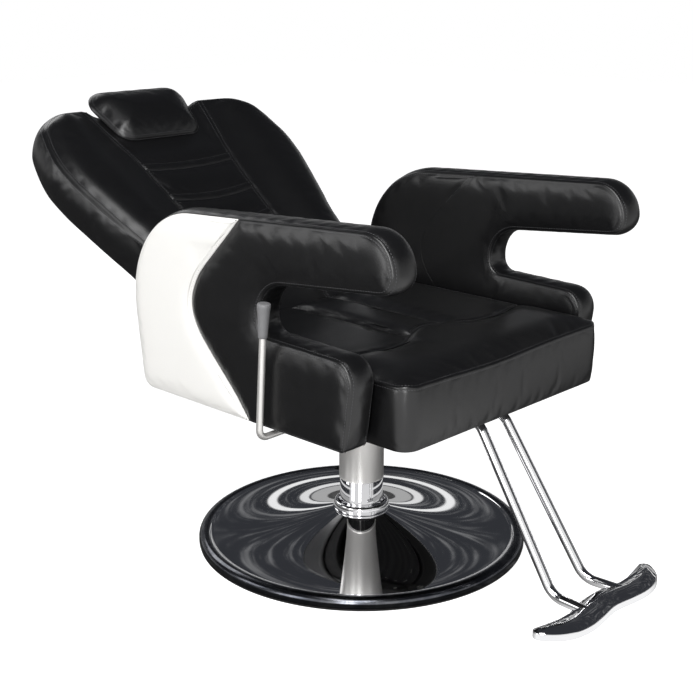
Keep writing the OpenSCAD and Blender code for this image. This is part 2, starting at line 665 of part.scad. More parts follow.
// Stepped steel flats that carry an arm from the cross members
arm_flat_y = [rail_front - cross_w, cross_rear_y];
arm_flat_w = cross_w - 3;
arm_flat_end = arm_outer - 18;
module arm_bracket(side) difference() {
    for (i = [0, 1]) {
        x0 = i == 0 ? cross_half : lug_out;
        for (b = [[x0, flat_step + flat_t, board_z - flat_t, flat_t],
                [flat_step, flat_step + flat_t, board_z - flat_t, 2 * flat_t + arm_low - board_z - flat_t],
                [flat_step, arm_flat_end, arm_low - flat_t, flat_t]])
            translate([side > 0 ? b[0] : -b[1], arm_flat_y[i], b[2]]) cube([b[1] - b[0], arm_flat_w, b[3]]);
    }
    arm_bolt_places(side) translate([0, 0, -50]) cylinder(r = arm_bolt_r + 0.3, h = 60);
}
module arm_bolt_places(side) for (i = [0, 1])
    translate([side * arm_bolt_x, arm_flat_y[i] + arm_flat_w / 2, arm_low]) children();
module arm_bracket_left() color("dimgray") arm_bracket(1);
module arm_bracket_right() color("dimgray") arm_bracket(-1);
module arm_bolts() color("gray") for (s = [-1, 1]) arm_bolt_places(s) {
    translate([0, 0, -flat_t]) cylinder(r = arm_bolt_r, h = flat_t);
    translate([0, 0, -flat_t - 5]) hex_head(7.5, 5);
}

// ---------------------------------------------------------------- recline hinge on the seat

lug_outline = concat([[cross_rear_y, rail_low], [pivot_y + 12, rail_low], [pivot_y + 18, rail_low + 8]],
    [for (a = [0:15:180]) [pivot_y + 18 * cos(a), pivot_z + 18 * sin(a)]],
    [[pivot_y - 18, 352], [seat_rear + 8, board_z + 8], [seat_rear + 6, board_z], [cross_rear_y, board_z]]);
module hinge_lug(side) difference() {
    side_plate(lug_outline, side > 0 ? lug_in : -lug_out, side > 0 ? lug_out : -lug_in);
    translate([0, pivot_y, pivot_z]) rod_x(pin_r + press, -lug_out - 1, lug_out + 1);
}
module hinge_lug_left() color("dimgray") hinge_lug(1);
module hinge_lug_right() color("dimgray") hinge_lug(-1);

module hinge_pins() color("gray") translate([0, pivot_y, pivot_z]) for (s = [0, 1]) mirror([s, 0, 0]) {
    rod_x(pin_r, bracket_in - 0.5, lug_out + 4);
    rod_x(pin_r + 3, lug_out, lug_out + 4);
}

// ---------------------------------------------------------------- gas spring

anchor_half = 8;
anchor_t = 4;
anchor_w = 24;
anchor_top_z = gas_z + 21;
anchor_top_t = 6;
module spring_anchor() color("dimgray") difference() {
    union() {
        for (s = [-1, 1]) translate([gas_x + s * anchor_half - anchor_t / 2, gas_y - anchor_w / 2, gas_z - 12])
            cube([anchor_t, anchor_w, anchor_top_z - gas_z + 12 + anchor_top_t]);
        translate([gas_x - anchor_half - anchor_t / 2, gas_y - anchor_w / 2, anchor_top_z])
            cube([-gas_x - rail_in - rail_w + anchor_half + anchor_t / 2, anchor_w, anchor_top_t]);
    }
    translate([0, gas_y, gas_z]) rod_x(gas_pin_r + slip, gas_x - 20, gas_x + 20);
}

module at_gas() translate([gas_x, gas_y, gas_z]) rotate([gas_tilt, 0, 0]) children();
gas_body_len = 158;
gas_eye_half = anchor_half - 2.4;
release_len = 17;
module gas_cylinder() color([0.15, 0.15, 0.15]) at_gas() difference() {
    union() {
        rod_x(8, -gas_eye_half, gas_eye_half);
        rod_x(gas_pin_r, -anchor_half - 4, anchor_half + 4);
        rod_y(6, 0, 20);
        rod_y(2.5, -release_len, 0);
        rod_y(gas_r, 16, 16 + gas_body_len);
    }
    rod_y(gas_rod_r + slip, 60, 16 + gas_body_len + 1);
}

fork_half = 7.5;
fork_gap = tail_half + 0.6;
fork_throat = tail_eye_r + tail_hole_r - gas_pin_r + 1.5;
module gas_rod() color("gainsboro") at_gas() {
    difference() {
        union() {
            rod_y(gas_rod_r, 80, gas_len - fork_throat - 4);
            translate([-fork_half, gas_len - fork_throat - 8, -7]) cube([2 * fork_half, fork_throat + 8, 14]);
            translate([0, gas_len, 0]) rod_x(7, -fork_half, fork_half);
        }
        translate([-fork_gap, gas_len - fork_throat, -10]) cube([2 * fork_gap, fork_throat + 20, 20]);
    }
    translate([0, gas_len, 0]) rod_x(gas_pin_r, -fork_half - 1.5, fork_half + 1.5);
}

// ---------------------------------------------------------------- footrest

foot_yaw = atan2(12, 161);
foot_plane_z = rail_low + rail_h / 2;
foot_bend = 40;
foot_low_z = foot_low + 12;
foot_slope = 56.1;
foot_top_run = 300;
foot_low_run = foot_top_run + (foot_plane_z - foot_low_z) / tan(foot_slope);
foot_end_run = 545;
bend_swell = 0.05;
foot_tan = foot_bend * tan(foot_slope / 2);
// Places children so that local +x runs along the tube's own level direction
module at_tube(side) translate([side * (foot_tube_x - foot_top_run * tan(foot_yaw)), 0, 0]) mirror([side < 0 ? 1 : 0, 0, 0])
    rotate([0, 0, -90 + foot_yaw]) children();
module tube_piece(run0, z0, run1, z1, before, after) {
    length = norm([run1 - run0, z1 - z0]);
    translate([run0, 0, z0]) rotate([0, 90 - atan2(z1 - z0, run1 - run0), 0])
        translate([0, 0, -before]) cylinder(d = foot_tube_d, h = length + before + after);
}
// A bend about a centre in the plane of run and z, from angle a0 through da
module tube_bend(run, z, a0, da) translate([run, 0, z]) rotate([90, 0, 0]) rotate([0, 0, a0])
    rotate_extrude(angle = da) translate([foot_bend, 0, 0]) circle(r = foot_tube_d / 2 + bend_swell);
module foot_tube(side) at_tube(side) {
    dx = foot_tan * cos(foot_slope);
    dz = foot_tan * sin(foot_slope);
    tube_piece(-rail_front + 3, foot_plane_z, foot_top_run - foot_tan, foot_plane_z, 0, 1);
    tube_bend(foot_top_run - foot_tan, foot_plane_z - foot_bend, 90 - foot_slope, foot_slope);
    tube_piece(foot_top_run + dx, foot_plane_z - dz, foot_low_run - dx, foot_low_z + dz, 1, 1);
    tube_bend(foot_low_run + foot_tan, foot_low_z + foot_bend, 270 - foot_slope, foot_slope);
    tube_piece(foot_low_run + foot_tan, foot_low_z, foot_end_run, foot_low_z, 1, 0);
}
module foot_tube_left() color("silver") foot_tube(1);
module foot_tube_right() color("silver") foot_tube(-1);

module tube_sockets() color("dimgray") for (s = [-1, 1]) at_tube(s) difference() {
    translate([0, 0, foot_plane_z])
        rod_x(foot_tube_d / 2 + 3.5, -rail_front + cross_w + 1.5, foot_top_run - foot_tan - 2);
    translate([0, 0, foot_plane_z]) rod_x(foot_tube_d / 2 + press, -rail_front, foot_top_run);
}

// Plan of the foot plate: a shallow bow with swept tips and a hub at the rear
foot_mid_y = -566;
foot_k = foot_half / 165;
foot_right = [[0, 0], [45, -6], [82, -9], [116, -4], [141, 9], [160, 29], [165, 43], [157, 53],
    [140, 50], [118, 45.5], [86, 40], [60, 44], [30, 50], [0, 51]];
foot_plan = smooth_loop(concat(
    [for (p = foot_right) [foot_k * p[0], foot_mid_y + p[1]]],
    [for (i = [len(foot_right) - 2:-1:1]) [-foot_k * foot_right[i][0], foot_mid_y + foot_right[i][1]]]), 4);
foot_centre = [0, foot_mid_y + 14];
foot_crown = 9;
foot_top = foot_low + foot_edge_t;
crown_rings = [1, 0.85, 0.6, 0.3];
// Low dome over the plan, from rings drawn in towards its centre
module foot_dome() {
    n = len(foot_plan);
    m = len(crown_rings);
    points = concat([for (k = crown_rings) for (p = foot_plan) let (q = foot_centre + (p - foot_centre) * k)
        [q[0], q[1], foot_top + foot_crown * (1 - k * k)]],
        [[foot_centre[0], foot_centre[1], foot_top + foot_crown], [foot_centre[0], foot_centre[1], foot_top]]);
    polyhedron(points, concat(
        [for (r = [0:m - 2]) for (i = [0:n - 1]) let (a = r * n + i, b = r * n + (i + 1) % n)
            each [[a, b + n, b], [a, a + n, b + n]]],
        [for (i = [0:n - 1]) [(m - 1) * n + i, m * n, (m - 1) * n + (i + 1) % n]],
        [for (i = [0:n - 1]) [i, (i + 1) % n, m * n + 1]]));
}
module foot_plate() color("silver") difference() {
    union() {
        translate([0, 0, foot_low]) linear_extrude(foot_edge_t) polygon(foot_plan);
        foot_dome();
        for (s = [-1, 1]) at_tube(s) translate([0, 0, foot_low_z])
            rod_x(foot_tube_d / 2 + 3, -foot_mid_y - 55, foot_end_run + 6);
        translate([0, foot_mid_y + 36, foot_low]) cylinder(r = 14, h = foot_edge_t + foot_crown + 3);
    }
    for (s = [-1, 1]) at_tube(s) translate([0, 0, foot_low_z])
        rod_x(foot_tube_d / 2 + press, foot_low_run, foot_end_run + 0.5);
    foot_screw_places() translate([0, 0, -1]) cylinder(r = 2.5 + press, h = 8);
}
foot_screw_run = foot_end_run - 14;
module foot_screw_places() for (s = [-1, 1]) at_tube(s) translate([foot_screw_run, 0, foot_low]) children();
module foot_plate_screws() color("gray") foot_screw_places() {
    translate([0, 0, -3]) cylinder(r = 5, h = 3);
    cylinder(r = 2.5, h = foot_low_z - foot_tube_d / 2 - foot_low - 0.1);
}

// ---------------------------------------------------------------- recline lever

grip_low = lever_h - grip_len;
module at_lever() translate([-lever_x, lever_y, lever_z]) children();
module lean() rotate([lever_lean, 0, 0]) children();
lever_bend = 16;
lever_end = lever_x - rail_in - 2;
cam_x = lever_x + gas_x;
cam_half = 7;
cam_reach = lever_z - gas_z;
cam_tip = 4;
module lever_rod() color("lightgray") at_lever() {
    lean() translate([0, 0, lever_bend - 1]) cylinder(d = lever_d, h = lever_h - lever_bend - 13);
    lean() translate([lever_bend, 0, lever_bend]) rotate([90, 0, 0]) rotate([0, 0, 180])
        rotate_extrude(angle = 90) translate([lever_bend, 0, 0]) circle(r = lever_d / 2 + bend_swell);
    rod_x(lever_d / 2, lever_bend - 1, lever_end);
    rod_x(lever_d / 2 + 4, cam_x - cam_half, cam_x + cam_half);
    translate([cam_x - cam_half, -cam_tip, -cam_reach]) cube([2 * cam_half, 2 * cam_tip, cam_reach]);
    translate([0, 0, -cam_reach]) rod_x(cam_tip, cam_x - cam_half, cam_x + cam_half);
}

module lever_grip() color("darkgray") at_lever() lean() translate([0, 0, grip_low]) difference() {
    union() {
        cylinder(d1 = 15, d2 = 19, h = 40);
        translate([0, 0, 40]) cylinder(d1 = 19, d2 = 22, h = 10);
        translate([0, 0, 50]) cylinder(d = 22, h = 4);
        translate([0, 0, 54]) cylinder(d1 = 22, d2 = 17, h = 3);
    }
    translate([0, 0, -1]) cylinder(d = lever_d + 2 * press, h = lever_h - 14 - grip_low + 1);
}

// ---------------------------------------------------------------- back

// Local frame of the back: x across, y up along the back, z out of its face
module in_back() translate([0, pivot_y, pivot_z]) rotate([recline, 0, 0]) children();

// How far the back's side lies outside its brackets at height s above the
// pivot, from foot to shoulder, for a back 598 long
back_sides = [[-12, -8], [100, -4], [187, 10], [226, 15], [265, 24], [295, 32], [348, 48],
    [391, 58], [438, 64], [469, 64], [509, 57], [536, 47], [556, 33], [572, 13], [585, -15],
    [593, -46], [598, -72]];
back_scale = back_len / 598;
// Depth of the notch at distance x from the centre line
function notch_at(x) = notch_depth * ease((128 - abs(x)) / 40);
function back_half(s) = bracket_in + lookup(s / back_scale, back_sides);
// Half width of the recessed middle panel
function panel_half(s) = lookup(s / back_scale, [[-12, 98], [234, 101], [290, 103], [358, 108], [416, 114],
    [450, 120], [483, 128], [540, 140], [602, 150]]);
// The middle panel dips behind the headrest, away from its side seams
function panel_recess(s, a) = 8 + 11.5 * ease((s / back_scale - 430) / 70) * ease((panel_half(s) - a) / 24);
wing_crown = 16;
// The cushion thins towards its foot, to clear the seat when upright
foot_thin = 30;
// Sewn channels of the middle panel, in pairs
back_channels = back_scale * [232, 248, 312, 330, 402, 420];
back_rows = concat([-back_foot], back_scale * [2, 30, 90, 160, 205, 226, 232, 240, 248, 256, 284, 306, 312, 321,
    330, 338, 366, 396, 402, 411, 420, 427, 460, 500, 540, 570, 588], [back_len]);
panel_cols = [0, 0.45, 0.85, 0.97];
wing_cols = [0.05, 0.22, 0.5, 0.78, 0.94, 1];
function back_x(i, s) = let (
    k = abs(i), p = panel_half(s), w = back_half(s), inner = min(p, w - 8)
) sign(i) * (k < 4 ? panel_cols[k] * inner : mix(inner, w, wing_cols[k - 4]));
function smile(x, s) = 9 * (abs(x) < 105 ? x * x / 11025 : max(back_half(s) - abs(x), 0) / (back_half(s) - 105))
    * ease((s - 20) / 100) * ease((back_len - 43 - s) / 100);
function back_y(x, s) = s + smile(x, s) - notch_at(x) * ease((s - back_len + 110) / 108);
function channel_at(s) = max([for (c = back_channels) bump(s - c, 7)]);
function back_z(i, x, s) = let (
    p = panel_half(s), w = back_half(s), a = abs(x),
    foot = sin(90 * min(1, max((s + back_foot) / 70, 0))),
    ends = ease((s - 40) / 110) * sin(90 * min(1, max((back_len - s) / 60, 0))),
    t = (a - p) / (w - p), wing = a > p ? sin(180 * pow(min(t, 1), 0.8)) : 0,
    inside = a <= p ? 1 : ease(1 - t * 3)
) back_front + wing_crown * wing * ends - (panel_recess(s, a) * inside * foot)
    - foot_thin * (1 - ease((s - 10) / 130))
    - 4.5 * channel_at(s) * (a < 0.9 * p ? 1 : 0) - 2 * bump(a - p, 10) * ends;

module back_cushion() {
    cols = [for (i = [-9:9]) i];
    front = [for (s = back_rows) [for (i = cols) let (x = back_x(i, s)) [x, back_y(x, s), back_z(i, x, s)]]];
    rear = [for (s = back_rows) [for (i = cols) let (x = back_x(i, s), y = back_y(x, s))
        [x * 0.985, mix(y, back_len / 2, 0.012), board_top_h]]];
    color([0.11, 0.11, 0.12]) in_back() stuffed(front, rear, 1.5);
}

// Outline of the boards behind the cushion, set in from its edge
function back_outline(inset, low, high) = let (
    steps = 16, side = [for (i = [0:steps]) let (s = mix(low, high, i / steps)) [back_half(s) - inset, s]],
    last = side[steps][0],
    top = [for (i = [1:7]) let (x = mix(last, -last, i / 8))
        [x, high - notch_at(x) + 6 * (1 - abs(x) / last)]]
) concat(side, top, [for (i = [steps:-1:0]) [-side[i][0], side[i][1]]]);
board_high = back_len - 19;
guide_low = back_len - 168;
guide_len = 120;
guide_w = bar_w + 16;
module back_board() color([0.45, 0.33, 0.2]) in_back() translate([0, 0, board_low_h])
    linear_extrude(back_board_t) polygon(back_outline(12, -4, board_high));

cover_foot = 122;
module back_cover() color([0.12, 0.12, 0.13]) in_back() translate([0, 0, cover_low_h]) difference() {
    linear_extrude(back_cover_t) polygon(back_outline(8, cover_foot, board_high + 3));
    translate([-guide_w / 2 - 3, guide_low - head_travel - 20, -1]) cube([guide_w + 6, 400, back_cover_t + 2]);
}

bracket_low = -18;
bracket_high = 112;
flange_in = bracket_in - 57;
module back_bracket(side) in_back() difference() {
    union() {
        side_plate(concat([[bracket_high, board_low_h], [bracket_high, board_top_h], [30, 14]],
            [for (a = [45:15:225]) [15 * cos(a), 15 * sin(a)]], [[20, board_low_h - 6], [bracket_high, board_low_h - 6]]),
            side > 0 ? bracket_in : -bracket_out, side > 0 ? bracket_out : -bracket_in);
        translate([side > 0 ? flange_in : -bracket_out, 18, board_low_h - 6])
            cube([bracket_out - flange_in, bracket_high - 18, 6]);
    }
    rod_x(bush_r + press, -bracket_out - 1, bracket_out + 1);
}
module back_bracket_left() color("dimgray") back_bracket(1);
module back_bracket_right() color("dimgray") back_bracket(-1);

module hinge_bushes() color("goldenrod") translate([0, pivot_y, pivot_z]) for (s = [0, 1]) mirror([s, 0, 0])
    difference() {
        rod_x(bush_r, bracket_in, bracket_out + 0.6);
        rod_x(pin_r + slip, bracket_in - 1, bracket_out + 2);
    }

// Lever plate that reaches below the pivot to the gas spring's rod
module recline_tail() color("dimgray") in_back() {
    end = [tail_r * sin(tail_turn) * cos(recline) - tail_r * cos(tail_turn) * sin(recline),
        -tail_r * sin(tail_turn) * sin(recline) - tail_r * cos(tail_turn) * cos(recline)];
    difference() {
        union() {
            side_plate([[90, board_low_h], [8, board_low_h], [end[0] - 11, end[1] + 11],
                [end[0] + 11, end[1] - 11], [90, board_low_h - 16]], gas_x - tail_half, gas_x + tail_half);
            translate([0, end[0], end[1]]) rod_x(tail_eye_r, gas_x - tail_half, gas_x + tail_half);
            translate([gas_x - 25, 8, board_low_h - 5]) cube([50, 82, 5]);
        }
        translate([0, end[0], end[1]]) rod_x(tail_hole_r, gas_x - 20, gas_x + 20);
    }
}

// ---------------------------------------------------------------- headrest

module headrest_guide() color("gray") in_back() translate([0, guide_low, 0]) difference() {
    translate([-guide_w / 2, 0, bar_h - bar_t - 5]) cube([guide_w, guide_len, board_low_h - bar_h + bar_t + 5]);
    translate([-bar_w / 2 - apart, -1, bar_h - bar_t - apart]) cube([bar_w + 2 * apart, guide_len + 2, bar_t + 2 * apart]);
}

link_low = back_len + 16;
link_h = 16;
module headrest_bar() color("silver") in_back() {
    translate([-bar_w / 2, guide_low - 5, bar_h - bar_t]) cube([bar_w, link_low + link_h - guide_low + 5, bar_t]);
    translate([-bar_w / 2, link_low, bar_h - bar_t]) cube([bar_w, link_h, head_rear_h - head_plate_t - bar_h + bar_t]);
}

module headrest_plate() color([0.2, 0.2, 0.2]) in_back()
    translate([-60, link_low - 4, head_rear_h - head_plate_t]) cube([120, link_h + 4, head_plate_t]);

head_rows = [0, 0.04, 0.13, 0.28, 0.45, 0.62, 0.78, 0.9, 0.97, 1];
head_cols = [-1, -0.96, -0.86, -0.66, -0.35, 0, 0.35, 0.66, 0.86, 0.96, 1];
function head_half(s) = let (
    t = (s - head_low) / (head_high - head_low), w = mix(head_low_half, head_top_half, t),
    a = max(1 - (s - head_low) / 30, 0), b = max(1 - (head_high - s) / 34, 0)
) w - 30 * (1 - sqrt(max(1 - a * a, 0))) - 34 * (1 - sqrt(max(1 - b * b, 0)));
function head_z(t, s) = let (u = (s - head_low) / (head_high - head_low))
    head_rear_h + 10 + (head_t - 10) * pow(max(sin(180 * (t + 1) / 2), 0), 0.55) * pow(max(sin(180 * u), 0), 0.55);
module headrest_pad() {
    front = [for (r = head_rows) let (s = mix(head_low, head_high, r)) [for (t = head_cols)
        [t * head_half(s), s, head_z(t, s)]]];
    rear = [for (r = head_rows) let (s = mix(head_low, head_high, r)) [for (t = head_cols)
        [t * head_half(s) * 0.97, mix(s, (head_low + head_high) / 2, 0.03), head_rear_h]]];
    color([0.11, 0.11, 0.12]) in_back() stuffed(front, rear, 1.5);
}

base_plate();
rubber_edge();
base_cover();
collar_ring();
pump_housing();
pump_bolts();
pump_cylinder();
gland_nut();
pump_block();
pedal_bracket();
pedal_pin();
piston_rod();
piston_seal();
thrust_bearing();
pedal_arm();
pedal_pad();
pump_plunger();
top_plate();
swivel_hub();
outer_sleeve();
frame_bolts();
rail_left();
rail_right();
cross_front();
cross_rear();
seat_board();
seat_cushion();
arm_left();
arm_right();
side_panel_left();
side_panel_right();
arm_bracket_left();
arm_bracket_right();
arm_bolts();
hinge_lug_left();
hinge_lug_right();
hinge_pins();
foot_tube_left();
foot_tube_right();
tube_sockets();
foot_plate();
foot_plate_screws();
lever_bush();
lever_block();
spring_anchor();
back_cushion();
back_board();
back_cover();
back_bracket_left();
back_bracket_right();
hinge_bushes();
recline_tail();
headrest_guide();
headrest_pad();
headrest_plate();
headrest_bar();
lever_rod();
lever_grip();
gas_cylinder();
gas_rod();
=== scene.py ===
"""Hydraulic barber chair: upholstery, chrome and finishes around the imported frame.

Lengths are in metres. The floor is z = 0, the column stands on the Z axis, +X is the
sitter's left and -Y is the front of the chair.
"""

import json
import math

import bmesh
import bpy
import numpy as np
from bpy.props import FloatProperty, FloatVectorProperty, IntProperty, PointerProperty
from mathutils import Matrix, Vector


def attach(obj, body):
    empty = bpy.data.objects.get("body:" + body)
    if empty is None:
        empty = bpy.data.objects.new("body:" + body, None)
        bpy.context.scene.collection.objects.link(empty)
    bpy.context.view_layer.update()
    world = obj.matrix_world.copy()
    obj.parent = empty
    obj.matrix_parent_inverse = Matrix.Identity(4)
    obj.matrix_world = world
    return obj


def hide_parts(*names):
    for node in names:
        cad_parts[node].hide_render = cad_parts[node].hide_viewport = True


bl_info = {
    "name": "Barber Chair",
    "version": (1, 0, 0),
    "blender": (4, 5, 0),
    "location": "View3D > Sidebar > Barber Chair",
    "description": "Dresses the frame of a hydraulic barber chair in leatherette and chrome",
    "category": "Object",
}

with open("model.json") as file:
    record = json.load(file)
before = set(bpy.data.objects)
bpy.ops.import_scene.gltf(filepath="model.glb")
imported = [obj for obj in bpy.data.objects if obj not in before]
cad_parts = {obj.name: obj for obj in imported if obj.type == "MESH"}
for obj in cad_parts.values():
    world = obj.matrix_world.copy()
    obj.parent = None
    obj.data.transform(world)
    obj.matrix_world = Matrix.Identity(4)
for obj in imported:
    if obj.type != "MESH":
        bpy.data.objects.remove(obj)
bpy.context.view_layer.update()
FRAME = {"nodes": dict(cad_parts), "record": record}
NODES = FRAME["nodes"]
MADE = {}

# Rows of the mesh beside a seam: the seam, the rise, the stitches, the shoulder, the panel
SEAM_ROWS = (0.0, 0.002, 0.004, 0.0065, 0.010)
RIB_ROWS = (0.0, 0.002, 0.004)
STITCH_ROW = 2

# How far each cover may settle away from the shape it is sewn to
SEAT_SETTLE, ARM_SETTLE, BACK_SETTLE, PILLOW_SETTLE = 0.0010, 0.0007, 0.0013, 0.0012
# Points of a cover closer to a seam than this are held by it
HELD = 0.0041
# Distance from a seam at which gathered cloth stands highest
GATHER_AT = 0.006
# The part of a noise's values that a finish uses
NOISE_LOW, NOISE_HIGH = 0.3, 0.7

# The back's own axes, from its hinge: across, up along the back, and out of its face
RECLINE = math.radians(36.0)
PIVOT = np.array([0.0, 0.165, 0.395])
BACK_UP = np.array([0.0, math.cos(RECLINE), math.sin(RECLINE)])
BACK_OUT = np.array([0.0, -math.sin(RECLINE), math.cos(RECLINE)])


# ---------------------------------------------------------------- settings

class CoverSizes(bpy.types.PropertyGroup):
    stitch_pitch: FloatProperty(name="Stitch Pitch", description="Distance from one stitch to the next",
                                default=0.0052, min=0.003, max=0.012, unit="LENGTH")
    stitch_length: FloatProperty(name="Stitch Length", description="Length of one stitch",
                                 default=0.0038, min=0.002, max=0.01, unit="LENGTH")
    thread: FloatProperty(name="Thread", description="Thickness of the sewing thread",
                          default=0.0012, min=0.0004, max=0.002, unit="LENGTH")
    filling: FloatProperty(name="Filling Pressure", description="How hard the foam presses on its cover",
                           default=3.0, min=0.5, max=10.0)
    frames: IntProperty(name="Settling Steps", description="Steps for which a cover settles on its foam",
                        default=18, min=5, max=60)


class CoverColours(bpy.types.PropertyGroup):
    black: FloatVectorProperty(name="Black Cover", description="Colour of the black leatherette",
                               subtype="COLOR", size=3, default=(0.0055, 0.0055, 0.0060), min=0, max=1)
    white: FloatVectorProperty(name="White Panel", description="Colour of the white side panels",
                               subtype="COLOR", size=3, default=(0.90, 0.89, 0.86), min=0, max=1)
    thread: FloatVectorProperty(name="Thread", description="Colour of the sewing thread", subtype="COLOR",
                                size=3, default=(0.085, 0.085, 0.09), min=0, max=1)
    grip: FloatVectorProperty(name="Lever Grip", description="Colour of the recline lever's grip",
                              subtype="COLOR", size=3, default=(0.20, 0.20, 0.205), min=0, max=1)


class ChairMetal(bpy.types.PropertyGroup):
    chrome: FloatVectorProperty(name="Chrome", description="Colour of the mirror chrome", subtype="COLOR",
                                size=3, default=(0.86, 0.86, 0.87), min=0, max=1)
    satin: FloatVectorProperty(name="Satin Steel", description="Colour of the brushed sleeve and lever",
                               subtype="COLOR", size=3, default=(0.87, 0.855, 0.83), min=0, max=1)
    polish: FloatProperty(name="Chrome Roughness", description="How far the chrome is from a perfect mirror",
                          default=0.035, min=0.0, max=0.3)


# ---------------------------------------------------------------- paths in a plane

def ease(t):
    t = np.clip(t, 0.0, 1.0)
    return t * t * (3 - 2 * t)


def rounded(corners, step=0.003):
    """A closed outline through corners [(x, y, radius), ...], as a dense path."""
    out = []
    n = len(corners)
    for i in range(n):
        a, b, c = (np.array(corners[(i + k) % n][:2], float) for k in (-1, 0, 1))
        r = corners[i][2]
        if r <= 0:
            out.append(b)
            continue
        u, v = (a - b) / np.linalg.norm(a - b), (c - b) / np.linalg.norm(c - b)
        half = math.acos(float(np.clip(u @ v, -1, 1))) / 2
        centre = b + (u + v) / np.linalg.norm(u + v) * r / math.sin(half)
        p, q = b + u * r / math.tan(half), b + v * r / math.tan(half)
        a0 = math.atan2(*(p - centre)[::-1])
        turn = (math.atan2(*(q - centre)[::-1]) - a0 + math.pi) % (2 * math.pi) - math.pi
        for t in np.linspace(0, 1, max(4, int(abs(turn) * r / step))):
            out.append(centre + r * np.array([math.cos(a0 + turn * t), math.sin(a0 + turn * t)]))
    return dense(np.array(out), step)


def dense(loop, step=0.003):
    """A closed path with no gap longer than step."""
    out = []
    for a, b in zip(loop, np.roll(loop, -1, 0)):
        k = max(1, int(np.linalg.norm(b - a) / step))
        out.extend(a + (b - a) * j / k for j in range(k))
    return np.array(out)


def flow(points, closed=False, per=12):
    """A smooth path through points."""
    p = np.array(points, float)
    n = len(p)
    out = []
    for i in range(n if closed else n - 1):
        idx = [(i + k) % n for k in (-1, 0, 1, 2)] if closed else [max(i - 1, 0), i, i + 1, min(i + 2, n - 1)]
        a, b, c, d = p[idx]
        for t in np.arange(per) / per:
            out.append(0.5 * (2 * b + (c - a) * t + (2 * a - 5 * b + 4 * c - d) * t * t
                              + (3 * b - a - 3 * c + d) * t ** 3))
    if not closed:
        out.append(p[-1])
    return np.array(out)


def unit(rows):
    """Each row at length one."""
    return rows / np.linalg.norm(rows, axis=1, keepdims=True)


def even(path, n):
    """n + 1 points evenly along an open path."""
    s = np.concatenate([[0], np.cumsum(np.linalg.norm(np.diff(path, axis=0), axis=1))])
    t = np.linspace(0, s[-1], n + 1)
    return np.stack([np.interp(t, s, path[:, k]) for k in range(path.shape[1])], 1)


def nearest(path, point):
    """Index of the point of a path that is nearest to a point."""
    return int(np.argmin(np.linalg.norm(path - np.array(point), axis=1)))


def between(loop, a, b, n):
    """n + 1 even points of a closed path, onwards from nearest a to nearest b."""
    i, j = nearest(loop, a), nearest(loop, b)
    part = np.roll(loop, -i, 0)[: (j - i) % len(loop) + 1]
    return even(part, n)


def chain(*parts):
    """Joins open paths end to end without doubling their joints."""
    return np.vstack([p[:-1] for p in parts[:-1]] + [parts[-1]])


def inward(loop):
    """For each point of a closed loop, the step inwards that keeps rows an even distance apart."""
    area = 0.5 * np.sum(loop[:, 0] * np.roll(loop[:, 1], -1) - loop[:, 1] * np.roll(loop[:, 0], -1))
    edge = np.roll(loop, -1, 0) - loop
    edge /= np.maximum(np.linalg.norm(edge, axis=1, keepdims=True), 1e-9)
    normal = np.stack([-edge[:, 1], edge[:, 0]], 1) * np.sign(area)
    n = normal + np.roll(normal, 1, 0)
    n /= np.maximum(np.linalg.norm(n, axis=1, keepdims=True), 1e-9)
    soft = n.copy()
    for _ in range(3):
        soft = soft + 0.5 * (np.roll(soft, 1, 0) + np.roll(soft, -1, 0))
        soft /= np.maximum(np.linalg.norm(soft, axis=1, keepdims=True), 1e-9)
    lean = np.minimum((soft * normal).sum(1), (soft * np.roll(normal, 1, 0)).sum(1))
    return soft / np.clip(lean, 0.55, 1.0)[:, None]


def reach(points, loop):
    """Distance of each point from a closed path."""
    a, step = loop, np.roll(loop, -1, 0) - loop
    long = np.maximum((step ** 2).sum(1), 1e-12)
    out = np.empty(len(points))
    for k in range(0, len(points), 2000):
        gap = points[k:k + 2000, None, :] - a
        t = np.clip((gap * step).sum(2) / long, 0, 1)
        out[k:k + 2000] = np.linalg.norm(gap - t[..., None] * step, axis=2).min(1)
    return out


def wander(n, seed, waves):
    """A smooth closed row of n numbers between about -1 and 1."""
    rng = np.random.default_rng(seed)
    t = np.arange(n) / n * 2 * math.pi
    total = np.zeros(n)
    for k in range(waves // 3, waves):
        total += rng.normal() * np.cos(k * t + rng.uniform(0, 6.283))
    return total / max(np.abs(total).max(), 1e-9)


def hump(d, width):
    """A smooth bump of height one around d = 0."""
    return np.exp(-(d / width) ** 2)


def groove(d, depth=0.0015):
    """Fold of a seam at distance d from it: the seam's valley and the dimples under the stitches."""
    valley, dimple, dimple_depth = 0.0013, 0.0011, 0.0005
    return -depth * hump(d, valley) - dimple_depth * hump(d - SEAM_ROWS[STITCH_ROW], dimple)


def puff(d, height, width, power=1.5):
    """Rise of a stuffed panel at distance d from its seams."""
    return height * (1 - np.exp(-(np.maximum(d, 0) / width) ** power))


# ---------------------------------------------------------------- sewn covers

